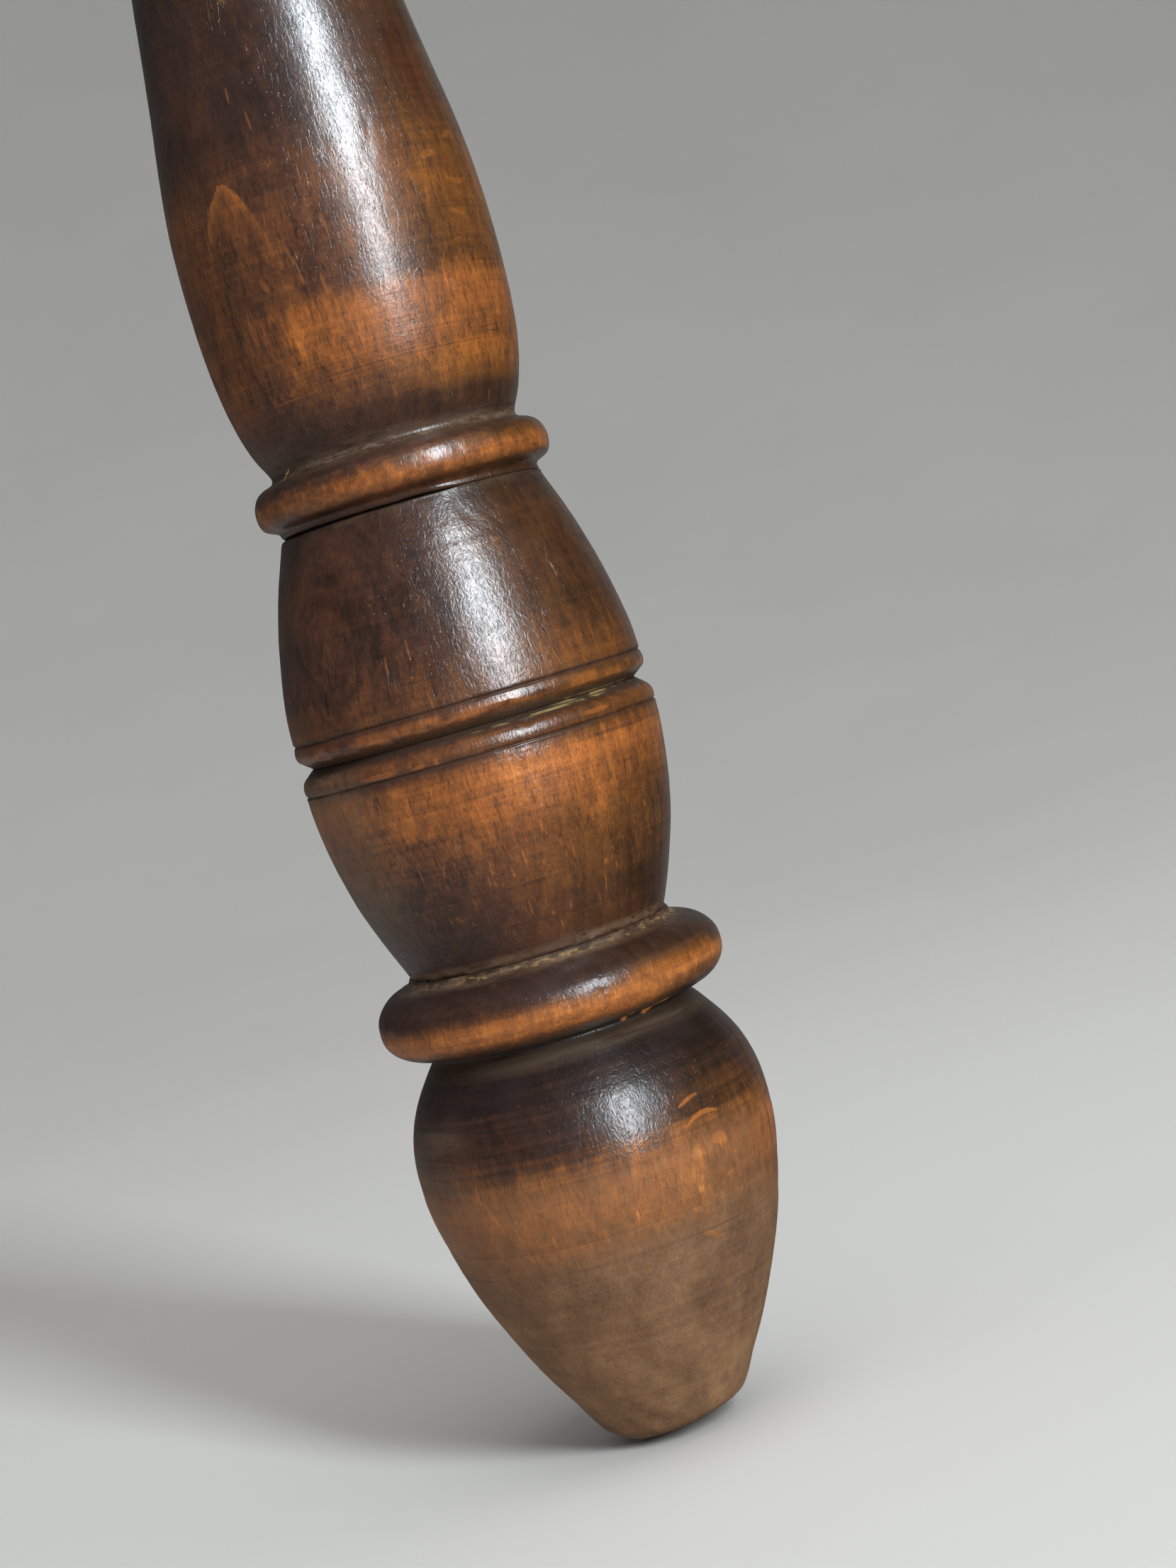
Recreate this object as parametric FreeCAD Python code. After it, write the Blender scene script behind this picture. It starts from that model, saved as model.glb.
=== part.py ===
import FreeCAD, Part
import math
import os

# A turned hardwood leg for a splayed-leg stool or side table. Short turnings are
# threaded on one long dowel: a turnip-shaped foot with its bead, a barrel in two
# halves that meet in a V-groove, and a long vase-shaped shaft with a bead at its
# lower end. A loose round tenon is glued into the top of the shaft; a saw kerf in
# it takes a spreading wedge.
#
# Frame: millimetres, the turning axis is +Z, the origin is the middle of the
# small flat on which the foot bears, and the tenon's end is the highest point.
# Outline points and tables are (radius, z), and each spline starts where the
# edge before it ends.

# ---------------------------------------------------------------- dimensions
# Joints between the turnings
lower_joint_z = 71.2         # foot to lower barrel
lower_joint_r = 18.15
middle_joint_z = 102.8       # lower to upper barrel, at the root of the V
middle_joint_r = 22.9
upper_joint_z = 133.6        # upper barrel to shaft, under the upper bead
upper_joint_r = 18.2
shoulder_z = 350.0           # top of the shaft
shoulder_r = 16.4

# Fine V cuts round the foot and on each side of the V-groove
scribe_depth = 0.3
scribe_half = 0.3            # half the cut's width along Z
foot_scribe_z = 33.9
low_scribe_z = 99.2
high_scribe_z = 106.3

# Long dowel and the bores
spine_r = 8.0
spine_low_z = 41.0
spine_high_z = 178.5
spine_chamfer = 1.0
glue_gap = 1.0               # space left past each dowel's end
mouth = 0.6                  # countersink at each bore's mouth
mouth_r = spine_r + mouth

# Glue flutes along the dowels
flute_r = 0.55
flute_count = 8
flute_overrun = 1.0          # cutter's length past a dowel's end

# Stepped tenon: the root is glued in the shaft, the wider end stands proud
tenon_r = 11.0
tenon_root_r = tenon_r - 1.0
tenon_proud = 30.0
tenon_buried = 34.0
tenon_top_z = shoulder_z + tenon_proud
tenon_low_z = shoulder_z - tenon_buried
tenon_chamfer = 1.0
tenon_mouth_r = tenon_r + 0.05   # countersink, clear of the wider end
root_overlap = 2.0           # the root's reach into the wider end
flute_stop = 2.0             # plain length of the root below the shoulder

# Tapered kerf and its wedge
kerf_depth = 24.0
kerf_low_z = tenon_top_z - kerf_depth
kerf_root = 1.0              # width at the bottom
kerf_mouth = 3.0             # width at the tenon's end
wedge_gap = 1.5              # space left under the wedge
slab_half = 30.0             # half length along X, well past the tenon's sides


# ------------------------------------------------------------------- helpers
def outline_point(point):
    radius, z = point
    return FreeCAD.Vector(radius, 0, z)


def straight(*points):
    """Straight edges from point to point."""
    return [
        Part.makeLine(outline_point(start), outline_point(end))
        for start, end in zip(points, points[1:])
    ]


def smooth(points):
    """One spline edge through the points."""
    curve = Part.BSplineCurve()
    curve.interpolate([outline_point(point) for point in points])
    return curve.toShape()


def arc(start, middle, end):
    return Part.Arc(*map(outline_point, (start, middle, end))).toShape()


def scribe(below, above, surface_r):
    """Fine V cut between two points on the surface."""
    root = (surface_r - scribe_depth, (below[1] + above[1]) / 2)
    return straight(below, root, above)


def barrel_bore(low_z, high_z):
    """Through bore for the long dowel, from the top down, countersunk at both ends."""
    return [
        (mouth_r, high_z), (spine_r, high_z - mouth),
        (spine_r, low_z + mouth), (mouth_r, low_z),
    ]


def turned(edges):
    """Solid of revolution from a closed chain of edges in the XZ plane."""
    face = Part.Face(Part.Wire(edges))
    solid = face.revolve(FreeCAD.Vector(0, 0, 0), FreeCAD.Vector(0, 0, 1), 360)
    # The direction of the chain can leave the solid inside out.
    if solid.Volume < 0:
        solid.reverse()
    return solid


def rod(radius, low_z, high_z, chamfer):
    """Plain dowel with chamfered ends."""
    return turned(straight(
        (0, low_z), (radius - chamfer, low_z), (radius, low_z + chamfer),
        (radius, high_z - chamfer), (radius - chamfer, high_z), (0, high_z), (0, low_z)))


def fluted(solid, radius, low_z, high_z):
    """Cuts round glue flutes along a dowel's side."""
    for i in range(flute_count):
        angle = 2 * math.pi * (i + 0.5) / flute_count
        base = FreeCAD.Vector(radius * math.cos(angle), radius * math.sin(angle), low_z)
        cutter = Part.makeCylinder(flute_r, high_z - low_z, base, FreeCAD.Vector(0, 0, 1))
        solid = solid.cut(cutter)
    return solid


def kerf_slab(low_z):
    """Slab with the kerf's taper, from low_z up to the tenon's end."""
    taper = (kerf_mouth - kerf_root) / kerf_depth
    low_half = (kerf_root + taper * (low_z - kerf_low_z)) / 2
    top_half = kerf_mouth / 2
    section = [
        (-low_half, low_z), (low_half, low_z),
        (top_half, tenon_top_z), (-top_half, tenon_top_z), (-low_half, low_z),
    ]
    wire = Part.makePolygon([FreeCAD.Vector(-slab_half, y, z) for y, z in section])
    return Part.Face(wire).extrude(FreeCAD.Vector(2 * slab_half, 0, 0))


# -------------------------------------------------------------------- pieces
def make_foot():
    """Low dome, belly, neck, bead and the ledge that meets the barrel."""
    flat_r = 3.0
    bore_low_z = spine_low_z - glue_gap
    ledge_end = (lower_joint_r + 0.35, lower_joint_z)
    dome = [
        (flat_r, 0.0), (5.4, 0.62), (8.0, 1.8), (9.85, 3.15), (11.2, 4.95),
        (12.95, 8.1), (15.15, 11.9), (18.1, 17.7), (20.75, 23.7),
        (22.75, 29.6), (23.72, foot_scribe_z - scribe_half),
    ]
    belly = [
        (23.83, foot_scribe_z + scribe_half), (24.55, 37.4), (24.93, 40.6),
        (25.0, 43.2), (24.7, 47.1), (23.75, 51.0), (22.1, 54.4),
        (20.3, 57.1), (19.1, 58.7),
    ]
    neck = [(19.1, 58.7), (18.55, 59.5), (18.7, 60.2)]
    bead = [
        (18.7, 60.2), (20.4, 60.45), (22.1, 61.05), (23.45, 62.1),
        (24.25, 63.35), (24.5, 64.9), (24.35, 66.4),
        (23.75, 67.65), (22.75, 68.75), (21.4, 69.6), (20.5, 69.95),
    ]
    ledge = [(20.5, 69.95), (19.7, 70.15), (19.1, 70.45), ledge_end]
    return turned([
        *straight((0, 0), (flat_r, 0)),
        smooth(dome),
        *scribe(dome[-1], belly[0], surface_r=23.78),
        *map(smooth, (belly, neck, bead, ledge)),
        *straight(
            ledge_end, (mouth_r, lower_joint_z), (spine_r, lower_joint_z - mouth),
            (spine_r, bore_low_z), (0, bore_low_z), (0, 0)),
    ])


def make_lower_barrel():
    """Lower half of the barrel, with a rounded lip at the V-groove."""
    joint = (lower_joint_r, lower_joint_z)
    lip_low = (24.9, 101.25)
    lip_middle = (24.86, 101.42)
    lip_high = (24.74, 101.52)
    side = [
        joint, (18.75, 72.6), (19.5, 74.4), (21.0, 78.3),
        (22.3, 82.2), (23.3, 86.1), (24.05, 90.0), (24.55, 93.9), (24.8, 96.8),
        (24.86, low_scribe_z - scribe_half),
    ]
    rim = [(24.88, low_scribe_z + scribe_half), (24.9, 100.5), lip_low]
    return turned([
        smooth(side),
        *scribe(side[-1], rim[0], surface_r=24.87),
        smooth(rim),
        arc(lip_low, lip_middle, lip_high),
        *straight(
            lip_high, (middle_joint_r, middle_joint_z),
            *barrel_bore(lower_joint_z, middle_joint_z), joint),
    ])


def make_upper_barrel():
    """Upper half of the barrel, from the root of the V to the upper joint."""
    groove_root = (middle_joint_r, middle_joint_z)
    edge_low = (upper_joint_r + 0.3, 133.1)
    edge_middle = (upper_joint_r + 0.08, 133.45)
    edge_high = (upper_joint_r - 0.25, upper_joint_z)
    rim = [
        (24.3, 103.85), (24.56, 104.2), (24.7, 104.75), (24.72, 105.4),
        (24.7, high_scribe_z - scribe_half),
    ]
    side = [
        (24.69, high_scribe_z + scribe_half), (24.6, 108.9), (24.35, 111.4),
        (24.0, 113.6), (23.3, 117.4), (22.4, 121.3), (21.3, 125.2),
        (20.0, 129.1), (19.05, 131.6), edge_low,
    ]
    return turned([
        *straight(groove_root, rim[0]),
        smooth(rim),
        *scribe(rim[-1], side[0], surface_r=24.7),
        smooth(side),
        arc(edge_low, edge_middle, edge_high),
        *straight(edge_high, *barrel_bore(middle_joint_z, upper_joint_z), groove_root),
    ])


def make_vase_shaft():
    """Cove and bead, neck, vase, slender waist, ring, head and shoulder."""
    cove_start = (upper_joint_r - 0.35, upper_joint_z)
    edge_low = (shoulder_r + 0.35, 348.2)
    edge_middle = (shoulder_r - 0.1, 349.5)
    edge_high = (shoulder_r - 1.3, shoulder_z)
    spine_bore_top = spine_high_z + glue_gap
    tenon_bore_low = tenon_low_z - glue_gap
    cove = [
        cove_start, (upper_joint_r - 0.1, 133.95),
        (18.3, 134.5), (18.85, 134.95), (19.5, 135.25),
    ]
    bead = [
        (19.5, 135.25), (20.15, 135.65), (20.55, 136.35), (20.75, 137.6),
        (20.65, 138.6), (20.3, 139.55), (19.7, 140.35), (18.9, 140.85),
    ]
    neck = [
        (18.9, 140.85), (18.1, 141.1), (17.5, 141.45), (17.25, 141.95),
        (17.35, 142.5), (17.6, 143.1),
    ]
    vase_and_waist = [
        (17.6, 143.1), (18.15, 144.1), (18.9, 145.8), (19.75, 148.4), (20.55, 152.0),
        (21.1, 156.4), (21.42, 161.0), (21.55, 166.5), (21.5, 171.5),
        (21.3, 176.0), (20.95, 180.2), (20.45, 184.4), (19.85, 188.5),
        (19.1, 193.6), (18.3, 199.4), (17.55, 205.3), (16.4, 215.0),
        (15.35, 225.0), (14.5, 235.0), (13.9, 245.0), (13.55, 255.0),
        (13.5, 264.0), (13.65, 273.0), (14.05, 280.5), (14.35, 284.0),
    ]
    ring_neck_low = [(14.35, 284.0), (14.45, 284.9), (14.95, 285.5), (15.7, 285.8)]
    ring = [
        (15.7, 285.8), (16.55, 286.3), (17.05, 287.2), (17.2, 288.4),
        (17.1, 289.6), (16.75, 290.6), (16.1, 291.3), (15.35, 291.7),
    ]
    ring_neck_high = [(15.35, 291.7), (14.65, 292.0), (14.3, 292.6), (14.4, 293.4)]
    head = [
        (14.4, 293.4), (15.0, 296.0), (16.1, 301.0), (17.1, 308.0), (17.65, 316.0),
        (17.8, 324.0), (17.65, 333.0), (17.2, 341.0), edge_low,
    ]
    return turned([
        *map(smooth, (
            cove, bead, neck, vase_and_waist, ring_neck_low, ring, ring_neck_high, head)),
        arc(edge_low, edge_middle, edge_high),
        *straight(
            edge_high, (tenon_mouth_r, shoulder_z), (tenon_root_r, shoulder_z - mouth),
            (tenon_root_r, tenon_bore_low), (0, tenon_bore_low),
            (0, spine_bore_top), (spine_r, spine_bore_top),
            (spine_r, upper_joint_z + mouth), (mouth_r, upper_joint_z), cove_start),
    ])


def make_spine_dowel():
    """Long dowel through the barrels, fluted from end to end."""
    return fluted(
        rod(spine_r, spine_low_z, spine_high_z, spine_chamfer), spine_r,
        spine_low_z - flute_overrun, spine_high_z + flute_overrun)


def make_tenon_end():
    """Wider end of the tenon, from the shoulder up, without its kerf."""
    return turned(straight(
        (0, shoulder_z), (tenon_r, shoulder_z), (tenon_r, tenon_top_z - tenon_chamfer),
        (tenon_r - tenon_chamfer, tenon_top_z), (0, tenon_top_z), (0, shoulder_z)))


def make_top_tenon():
    """Fluted root and wider end in one, with the kerf cut across along X."""
    root = fluted(
        rod(tenon_root_r, tenon_low_z, shoulder_z + root_overlap, tenon_chamfer),
        tenon_root_r, tenon_low_z - flute_overrun, shoulder_z - flute_stop)
    tenon = root.fuse(make_tenon_end()).removeSplitter()
    return tenon.cut(kerf_slab(kerf_low_z))


def make_tenon_wedge():
    """Wedge that fills the kerf above a small gap, trimmed flush with the tenon."""
    return kerf_slab(kerf_low_z + wedge_gap).common(make_tenon_end())


# -------------------------------------------------------------------- export
pieces = {
    "foot": make_foot(),
    "lower_barrel": make_lower_barrel(),
    "upper_barrel": make_upper_barrel(),
    "vase_shaft": make_vase_shaft(),
    "spine_dowel": make_spine_dowel(),
    "top_tenon": make_top_tenon(),
    "tenon_wedge": make_tenon_wedge(),
}

os.makedirs("parts", exist_ok=True)
for name, shape in pieces.items():
    # Booleans can wrap their one solid in a compound.
    if len(shape.Solids) == 1:
        shape = shape.Solids[0]
    if not shape.isValid():
        raise ValueError(name + " isn't a valid solid")
    shape.exportStep("parts/" + name + ".step")
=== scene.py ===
"""A turned wooden furniture leg in worn dark stain, on a pale studio floor.

The leg stands on +Z with its foot at z = 0 and its axis on x = y = 0. The front faces -Y and
the right is +X. Angles round the leg are 0 at the front and grow towards the right.
Profiles, wear and textures are in millimetres; the scene itself is in metres.
"""
import math
from functools import cached_property
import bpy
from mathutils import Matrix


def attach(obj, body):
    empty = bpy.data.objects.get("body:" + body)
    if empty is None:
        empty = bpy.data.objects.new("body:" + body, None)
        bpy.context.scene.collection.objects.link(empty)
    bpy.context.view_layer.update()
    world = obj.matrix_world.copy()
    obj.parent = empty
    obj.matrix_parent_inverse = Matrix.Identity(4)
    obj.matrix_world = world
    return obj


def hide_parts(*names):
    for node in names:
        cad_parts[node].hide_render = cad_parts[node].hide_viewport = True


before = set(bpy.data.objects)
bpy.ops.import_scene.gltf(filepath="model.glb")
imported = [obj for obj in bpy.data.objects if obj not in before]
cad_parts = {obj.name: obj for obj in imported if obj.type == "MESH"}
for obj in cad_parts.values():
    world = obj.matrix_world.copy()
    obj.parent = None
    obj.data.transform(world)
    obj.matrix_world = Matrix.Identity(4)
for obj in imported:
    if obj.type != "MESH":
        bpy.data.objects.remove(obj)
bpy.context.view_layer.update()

from types import SimpleNamespace

import bpy
import numpy as np
from mathutils import Matrix, Quaternion, Vector

MM = 0.001
DEGREE = math.pi / 180

# ---------------------------------------------------------------- the camera
LEAN, PITCH = math.radians(16.17), math.radians(-3.4)   # of the leg against the camera
LENS, SENSOR = 65.0994575, 36.0                         # mm
AXIS_OFFSET = -0.013251105   # m, from the middle of the view to the leg's axis
DISTANCE = 0.3906            # m, ahead of the camera to that place on the axis
FOOT_DROP = 0.0939393        # m, down the axis from there to the foot's end


def add_camera():
    """Poses the leg in the camera's axes (x right, y down, z ahead), then inverts the pose."""
    leg_down = Vector((math.cos(PITCH) * math.sin(LEAN), math.cos(PITCH) * math.cos(LEAN),
                       -math.sin(PITCH)))
    foot_end = Vector((AXIS_OFFSET, 0.0, DISTANCE)) + leg_down * FOOT_DROP
    leg_z = -leg_down
    ahead = Vector((0.0, 0.0, 1.0))
    leg_y = (ahead - leg_z * ahead.dot(leg_z)).normalized()
    to_leg = Matrix((leg_y.cross(leg_z), leg_y, leg_z))
    # Blender's cameras have y up and look along -z
    turn = to_leg @ Matrix.Diagonal(Vector((1.0, -1.0, -1.0)))
    data = bpy.data.cameras.new("camera")
    data.sensor_width = SENSOR
    data.sensor_fit = "AUTO"
    data.lens = LENS
    data.clip_start, data.clip_end = 0.01, 50.0
    camera = bpy.data.objects.new("camera", data)
    bpy.context.scene.collection.objects.link(camera)
    camera.matrix_world = Matrix.Translation(-(to_leg @ foot_end)) @ turn.to_4x4()
    bpy.context.scene.camera = camera


add_camera()


# ------------------------------------------------------------------ profiles
def spline(points, step):
    """Natural cubic spline by chord length, sampled about every step mm."""
    points = np.array(points, float)
    if len(points) == 2:
        count = max(1, int(math.ceil(np.hypot(*(points[1] - points[0])) / step)))
        return np.linspace(points[0], points[1], count + 1)
    knots = np.r_[0, np.cumsum(np.hypot(*np.diff(points, axis=0).T))]
    gaps = np.diff(knots)
    size = len(knots)
    system = np.zeros((size, size))
    target = np.zeros((size, 2))
    system[0, 0] = system[-1, -1] = 1
    for i in range(1, size - 1):
        system[i, i - 1 : i + 2] = gaps[i - 1], 2 * (gaps[i - 1] + gaps[i]), gaps[i]
        target[i] = 6 * ((points[i + 1] - points[i]) / gaps[i]
                         - (points[i] - points[i - 1]) / gaps[i - 1])
    bends = np.linalg.solve(system, target)
    count = max(2, int(math.ceil(knots[-1] / step)))
    places = np.linspace(0, knots[-1], count + 1)
    k = np.clip(np.searchsorted(knots, places, side="right") - 1, 0, size - 2)
    along = (places - knots[k])[:, None]
    gap = gaps[k][:, None]
    left, right = points[k], points[k + 1]
    return (
        left + along * ((right - left) / gap - gap * (2 * bends[k] + bends[k + 1]) / 6)
        + along**2 * bends[k] / 2 + along**3 * (bends[k + 1] - bends[k]) / (6 * gap)
    )


def chain(*runs):
    """Joins (points, step) runs into one line without repeated points."""
    lines = [spline(points, step) for points, step in runs]
    return np.concatenate(lines[:1] + [line[1:] for line in lines[1:]])


# heights where the four turnings meet, and the shaft's top
LOW_JOINT, MID_JOINT, TOP_JOINT, SHOULDER = 71.2, 102.8, 133.6, 350.0
BORE, BORE_MOUTH = 8.0, 8.6   # radii of the dowel hole and of its chamfered mouth
CHAMFER = 0.6
AROUND = 336                  # vertices round each turning
MAX_RADIUS = 24.97

# Outer lines as (radius, height) in mm, in smooth runs from low to high, each with its step
foot_line = chain(
    ([(3.0, 0.0), (5.4, 0.62), (8.0, 1.8), (9.85, 3.15), (11.2, 4.95), (12.95, 8.1),
      (15.15, 11.9), (18.1, 17.7), (20.75, 23.7), (22.75, 29.6), (23.70, 33.5)], 0.42),
    ([(23.70, 33.5), (23.74, 33.7), (23.77, 33.9), (23.82, 34.1), (23.86, 34.3)], 0.09),
    ([(23.86, 34.3), (24.55, 37.4), (24.93, 40.6), (25.0, 43.2), (24.7, 47.1),
      (23.75, 51.0), (22.1, 54.4), (20.3, 57.1), (19.1, 58.7)], 0.42),
    ([(19.1, 58.7), (18.6, 59.35), (18.45, 59.75), (18.7, 60.2)], 0.16),
    ([(18.7, 60.2), (20.4, 60.45), (22.1, 61.05), (23.45, 62.1), (24.25, 63.35),
      (24.5, 64.9), (24.35, 66.4), (23.75, 67.65), (22.75, 68.75), (21.4, 69.6),
      (20.5, 69.95)], 0.22),
    ([(20.5, 69.95), (19.7, 70.15), (19.1, 70.45), (18.6, 71.0), (18.5, LOW_JOINT)], 0.16),
)
low_barrel_line = chain(
    ([(18.15, LOW_JOINT), (18.75, 72.6), (19.5, 74.4), (21.0, 78.3), (22.3, 82.2),
      (23.3, 86.1), (24.05, 90.0), (24.55, 93.9), (24.8, 96.8), (24.86, 98.8)], 0.36),
    ([(24.86, 98.8), (24.87, 99.0), (24.66, 99.2), (24.80, 99.4), (24.88, 99.6)], 0.08),
    ([(24.88, 99.6), (24.93, 100.15), (24.86, 100.7), (24.68, 101.15), (24.40, 101.52)], 0.12),
    ([(24.40, 101.52), (22.9, MID_JOINT)], 0.2),
)
high_barrel_line = chain(
    ([(22.9, MID_JOINT), (24.3, 103.85)], 0.2),
    ([(24.3, 103.85), (24.62, 104.2), (24.82, 104.75), (24.84, 105.3), (24.72, 105.85)], 0.12),
    ([(24.72, 105.85), (24.62, 106.1), (24.46, 106.32), (24.62, 106.5), (24.69, 106.7)], 0.08),
    ([(24.69, 106.7), (24.6, 108.9), (24.35, 111.4), (24.0, 113.6), (23.3, 117.4),
      (22.4, 121.3), (21.3, 125.2), (20.0, 129.1), (19.05, 131.6), (18.5, 133.1)], 0.36),
    ([(18.5, 133.1), (18.28, 133.45), (17.95, TOP_JOINT)], 0.12),
)
shaft_line = chain(
    ([(17.85, TOP_JOINT), (18.1, 133.95), (18.3, 134.5), (18.85, 134.95), (19.5, 135.25)], 0.15),
    ([(19.5, 135.25), (20.15, 135.65), (20.55, 136.35), (20.75, 137.6), (20.65, 138.6),
      (20.3, 139.55), (19.7, 140.35), (18.9, 140.85)], 0.2),
    ([(18.9, 140.85), (18.1, 141.1), (17.5, 141.45), (17.25, 141.95), (17.35, 142.5),
      (17.6, 143.1)], 0.18),
    ([(17.6, 143.1), (18.15, 144.1), (18.9, 145.8), (19.75, 148.4), (20.55, 152.0),
      (21.1, 156.4), (21.42, 161.0), (21.55, 166.5), (21.5, 171.5), (21.3, 176.0),
      (20.95, 180.2), (20.45, 184.4), (19.85, 188.5), (19.1, 193.6), (18.3, 199.4),
      (17.55, 205.3), (16.4, 215.0), (15.35, 225.0), (14.5, 235.0), (13.9, 245.0),
      (13.55, 255.0), (13.5, 264.0), (13.65, 273.0), (14.05, 280.5), (14.35, 284.0)], 1.1),
    ([(14.35, 284.0), (14.45, 284.9), (14.95, 285.5), (15.7, 285.8)], 0.3),
    ([(15.7, 285.8), (16.55, 286.3), (17.05, 287.2), (17.2, 288.4), (17.1, 289.6),
      (16.75, 290.6), (16.1, 291.3), (15.35, 291.7)], 0.35),
    ([(15.35, 291.7), (14.65, 292.0), (14.3, 292.6), (14.4, 293.4)], 0.3),
    ([(14.4, 293.4), (15.0, 296.0), (16.1, 301.0), (17.1, 308.0), (17.65, 316.0),
      (17.8, 324.0), (17.65, 333.0), (17.2, 341.0), (16.75, 348.2)], 1.4),
    ([(16.75, 348.2), (16.5, 349.2), (16.05, 349.75), (15.1, SHOULDER)], 0.3),
)


# ------------------------------------------------------- wear on the surfaces
# A surface is a tuple of arrays: angle in radians, radius and height in mm.
def ease(value, start, end):
    """0 at start, rising smoothly to 1 at end."""
    part = np.clip((value - start) / (end - start), 0, 1)
    return part * part * (3 - 2 * part)


def near(z, height, half):
    """1 at a height, falling smoothly to 0 at half mm from it."""
    return ease(1 - np.abs(z - height) / half, 0, 1)


def angle_from(angle, degrees):
    """Angle from a direction, wrapped, in radians."""
    return (angle - math.radians(degrees) + np.pi) % (2 * np.pi) - np.pi


def waves(seed, surface, size, size_z, count=28):
    """Smooth noise about -1 to 1, its features size mm long across the grain, size_z along it."""
    angle, radius, z = surface
    rng = np.random.default_rng(seed)
    x, y = radius * np.sin(angle), -radius * np.cos(angle)
    total = np.zeros_like(z)
    for _ in range(count):
        way = rng.normal(size=3)
        way /= np.linalg.norm(way)
        rate = 2 * np.pi / (size * rng.uniform(0.7, 1.6))
        rate_z = 2 * np.pi / (size_z * rng.uniform(0.7, 1.6))
        phase = rng.uniform(0, 2 * np.pi)
        total += np.sin(rate * (way[0] * x + way[1] * y) + rate_z * way[2] * z + phase)
    return total / math.sqrt(count) * 1.2


def ring_waves(seed, surface, height, size):
    """Noise that varies only round the leg, as read at one height."""
    angle, radius, z = surface
    return waves(seed, (angle, radius, np.full_like(z, height)), size, 50.0, 20)


def local_axes(surface, degrees, height, tilt):
    """Tilted distances in mm from a place on the surface."""
    angle, radius, z = surface
    across, along = angle_from(angle, degrees) * radius, z - height
    return (across * math.cos(tilt) - along * math.sin(tilt),
            across * math.sin(tilt) + along * math.cos(tilt))


def dents(seed, surface, low, high, count, depth, size):
    """Small soft knocks, scattered over a band of heights."""
    rng = np.random.default_rng(seed)
    total = np.zeros_like(surface[2])
    for _ in range(count):
        degrees, height = rng.uniform(-180, 180), rng.uniform(low, high)
        width, length = size * rng.uniform(0.4, 1.2), size * rng.uniform(0.5, 2.2)
        across, along = local_axes(surface, degrees, height, rng.uniform(-0.9, 0.9))
        total += (depth * rng.uniform(0.3, 1.0)
                  * np.exp(-((across / width) ** 2) - (along / length) ** 2))
    return total


def cuts(seed, surface, low, high, count, depth, width):
    """Short narrow scratches and tears, mostly along the grain."""
    rng = np.random.default_rng(seed)
    total = np.zeros_like(surface[2])
    for _ in range(count):
        degrees, height = rng.uniform(-180, 180), rng.uniform(low, high)
        tilt = rng.normal(0, 0.35)
        length = rng.uniform(1.0, 3.2)
        across, along = local_axes(surface, degrees, height, tilt)
        total += (depth * rng.uniform(0.4, 1.0) * np.exp(-((across / width) ** 2))
                  * np.clip(1 - (along / length) ** 2, 0, 1))
    return total


def chipped(seed, surface, height, half, depth, share):
    """Nicks along an edge that runs round the leg; a larger share leaves more of it whole."""
    coarse = ring_waves(seed, surface, height, 3.2)
    fine = waves(seed + 1, surface, 0.9, 0.9, 20)
    return depth * np.clip(coarse - share + 0.25 * fine, 0, 1.2) * near(surface[2], height, half)


def chipped_edges(seed, surface, edges):
    """Sum of the nicks on several edges, seeded one after another."""
    return sum(chipped(seed + i, surface, *edge) for i, edge in enumerate(edges))


def common_wear(seed, surface, low, high):
    """Out-of-round of a hand-fed turning, tool waves, knocks and scratches."""
    offset = 0.035 * waves(seed, surface, 34.0, 26.0)
    offset += 0.016 * waves(seed + 1, surface, 9.0, 7.0)
    offset += 0.006 * waves(seed + 2, surface, 300.0, 1.7)
    offset -= 0.035
    area = 2 * np.pi * 22 * (high - low)
    offset -= dents(seed + 3, surface, low, high, int(area / 240), depth=0.10, size=1.0)
    offset -= cuts(seed + 4, surface, low, high, int(area / 170), depth=0.07, width=0.26)
    return offset


def seam_open(angle):
    """The joint under the upper bead gapes on the left and front, and is tight on the right."""
    return ease(np.cos(angle_from(angle, -72.0)), -0.22, 0.25)


# Chipped edges: height, half width, depth, share left whole
FOOT_EDGES = [(70.1, 0.7, 0.30, 0.35), (60.6, 0.8, 0.16, 0.55), (65.0, 1.6, 0.08, 0.6)]
LOW_EDGES = [(101.4, 0.8, 0.34, 0.30), (99.2, 0.5, 0.12, 0.2), (71.6, 0.9, 0.30, 0.1)]
HIGH_EDGES = [(104.3, 0.8, 0.30, 0.35), (106.3, 0.5, 0.12, 0.2)]
HIGH_SEAM_EDGE = (133.2, 0.5, 0.12, 0.2)
SHAFT_EDGES = [(141.3, 0.7, 0.14, 0.4), (138.0, 1.6, 0.07, 0.5), (285.3, 0.7, 0.14, 0.4),
               (292.0, 0.7, 0.14, 0.4), (349.3, 0.8, 0.18, 0.4)]


def wear_foot(angle, radius, z):
    surface = angle, radius, z
    offset = common_wear(101, surface, 3.0, 69.0)
    offset += (1 - ease(z, 6.0, 14.0)) * (0.05 * waves(111, surface, 4.0, 3.0) - 0.06)
    offset -= dents(112, surface, 1.0, 16.0, 60, depth=0.16, size=0.8)
    offset -= chipped_edges(113, surface, FOOT_EDGES)
    radius = radius + offset * ease(z, 0.0, 2.0) * (1 - ease(z, 70.4, LOW_JOINT))
    # the bearing end is worn off square, higher towards the front right
    x, y = radius * np.sin(angle), -radius * np.cos(angle)
    plane = 1.6 + 0.18 * x - 0.10 * y + 0.05 * waves(116, (angle, radius, z), 5.0, 5.0)
    soft = 0.35
    return radius, z + soft * np.log1p(np.exp(np.clip((plane - z) / soft, -30, 30)))


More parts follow.
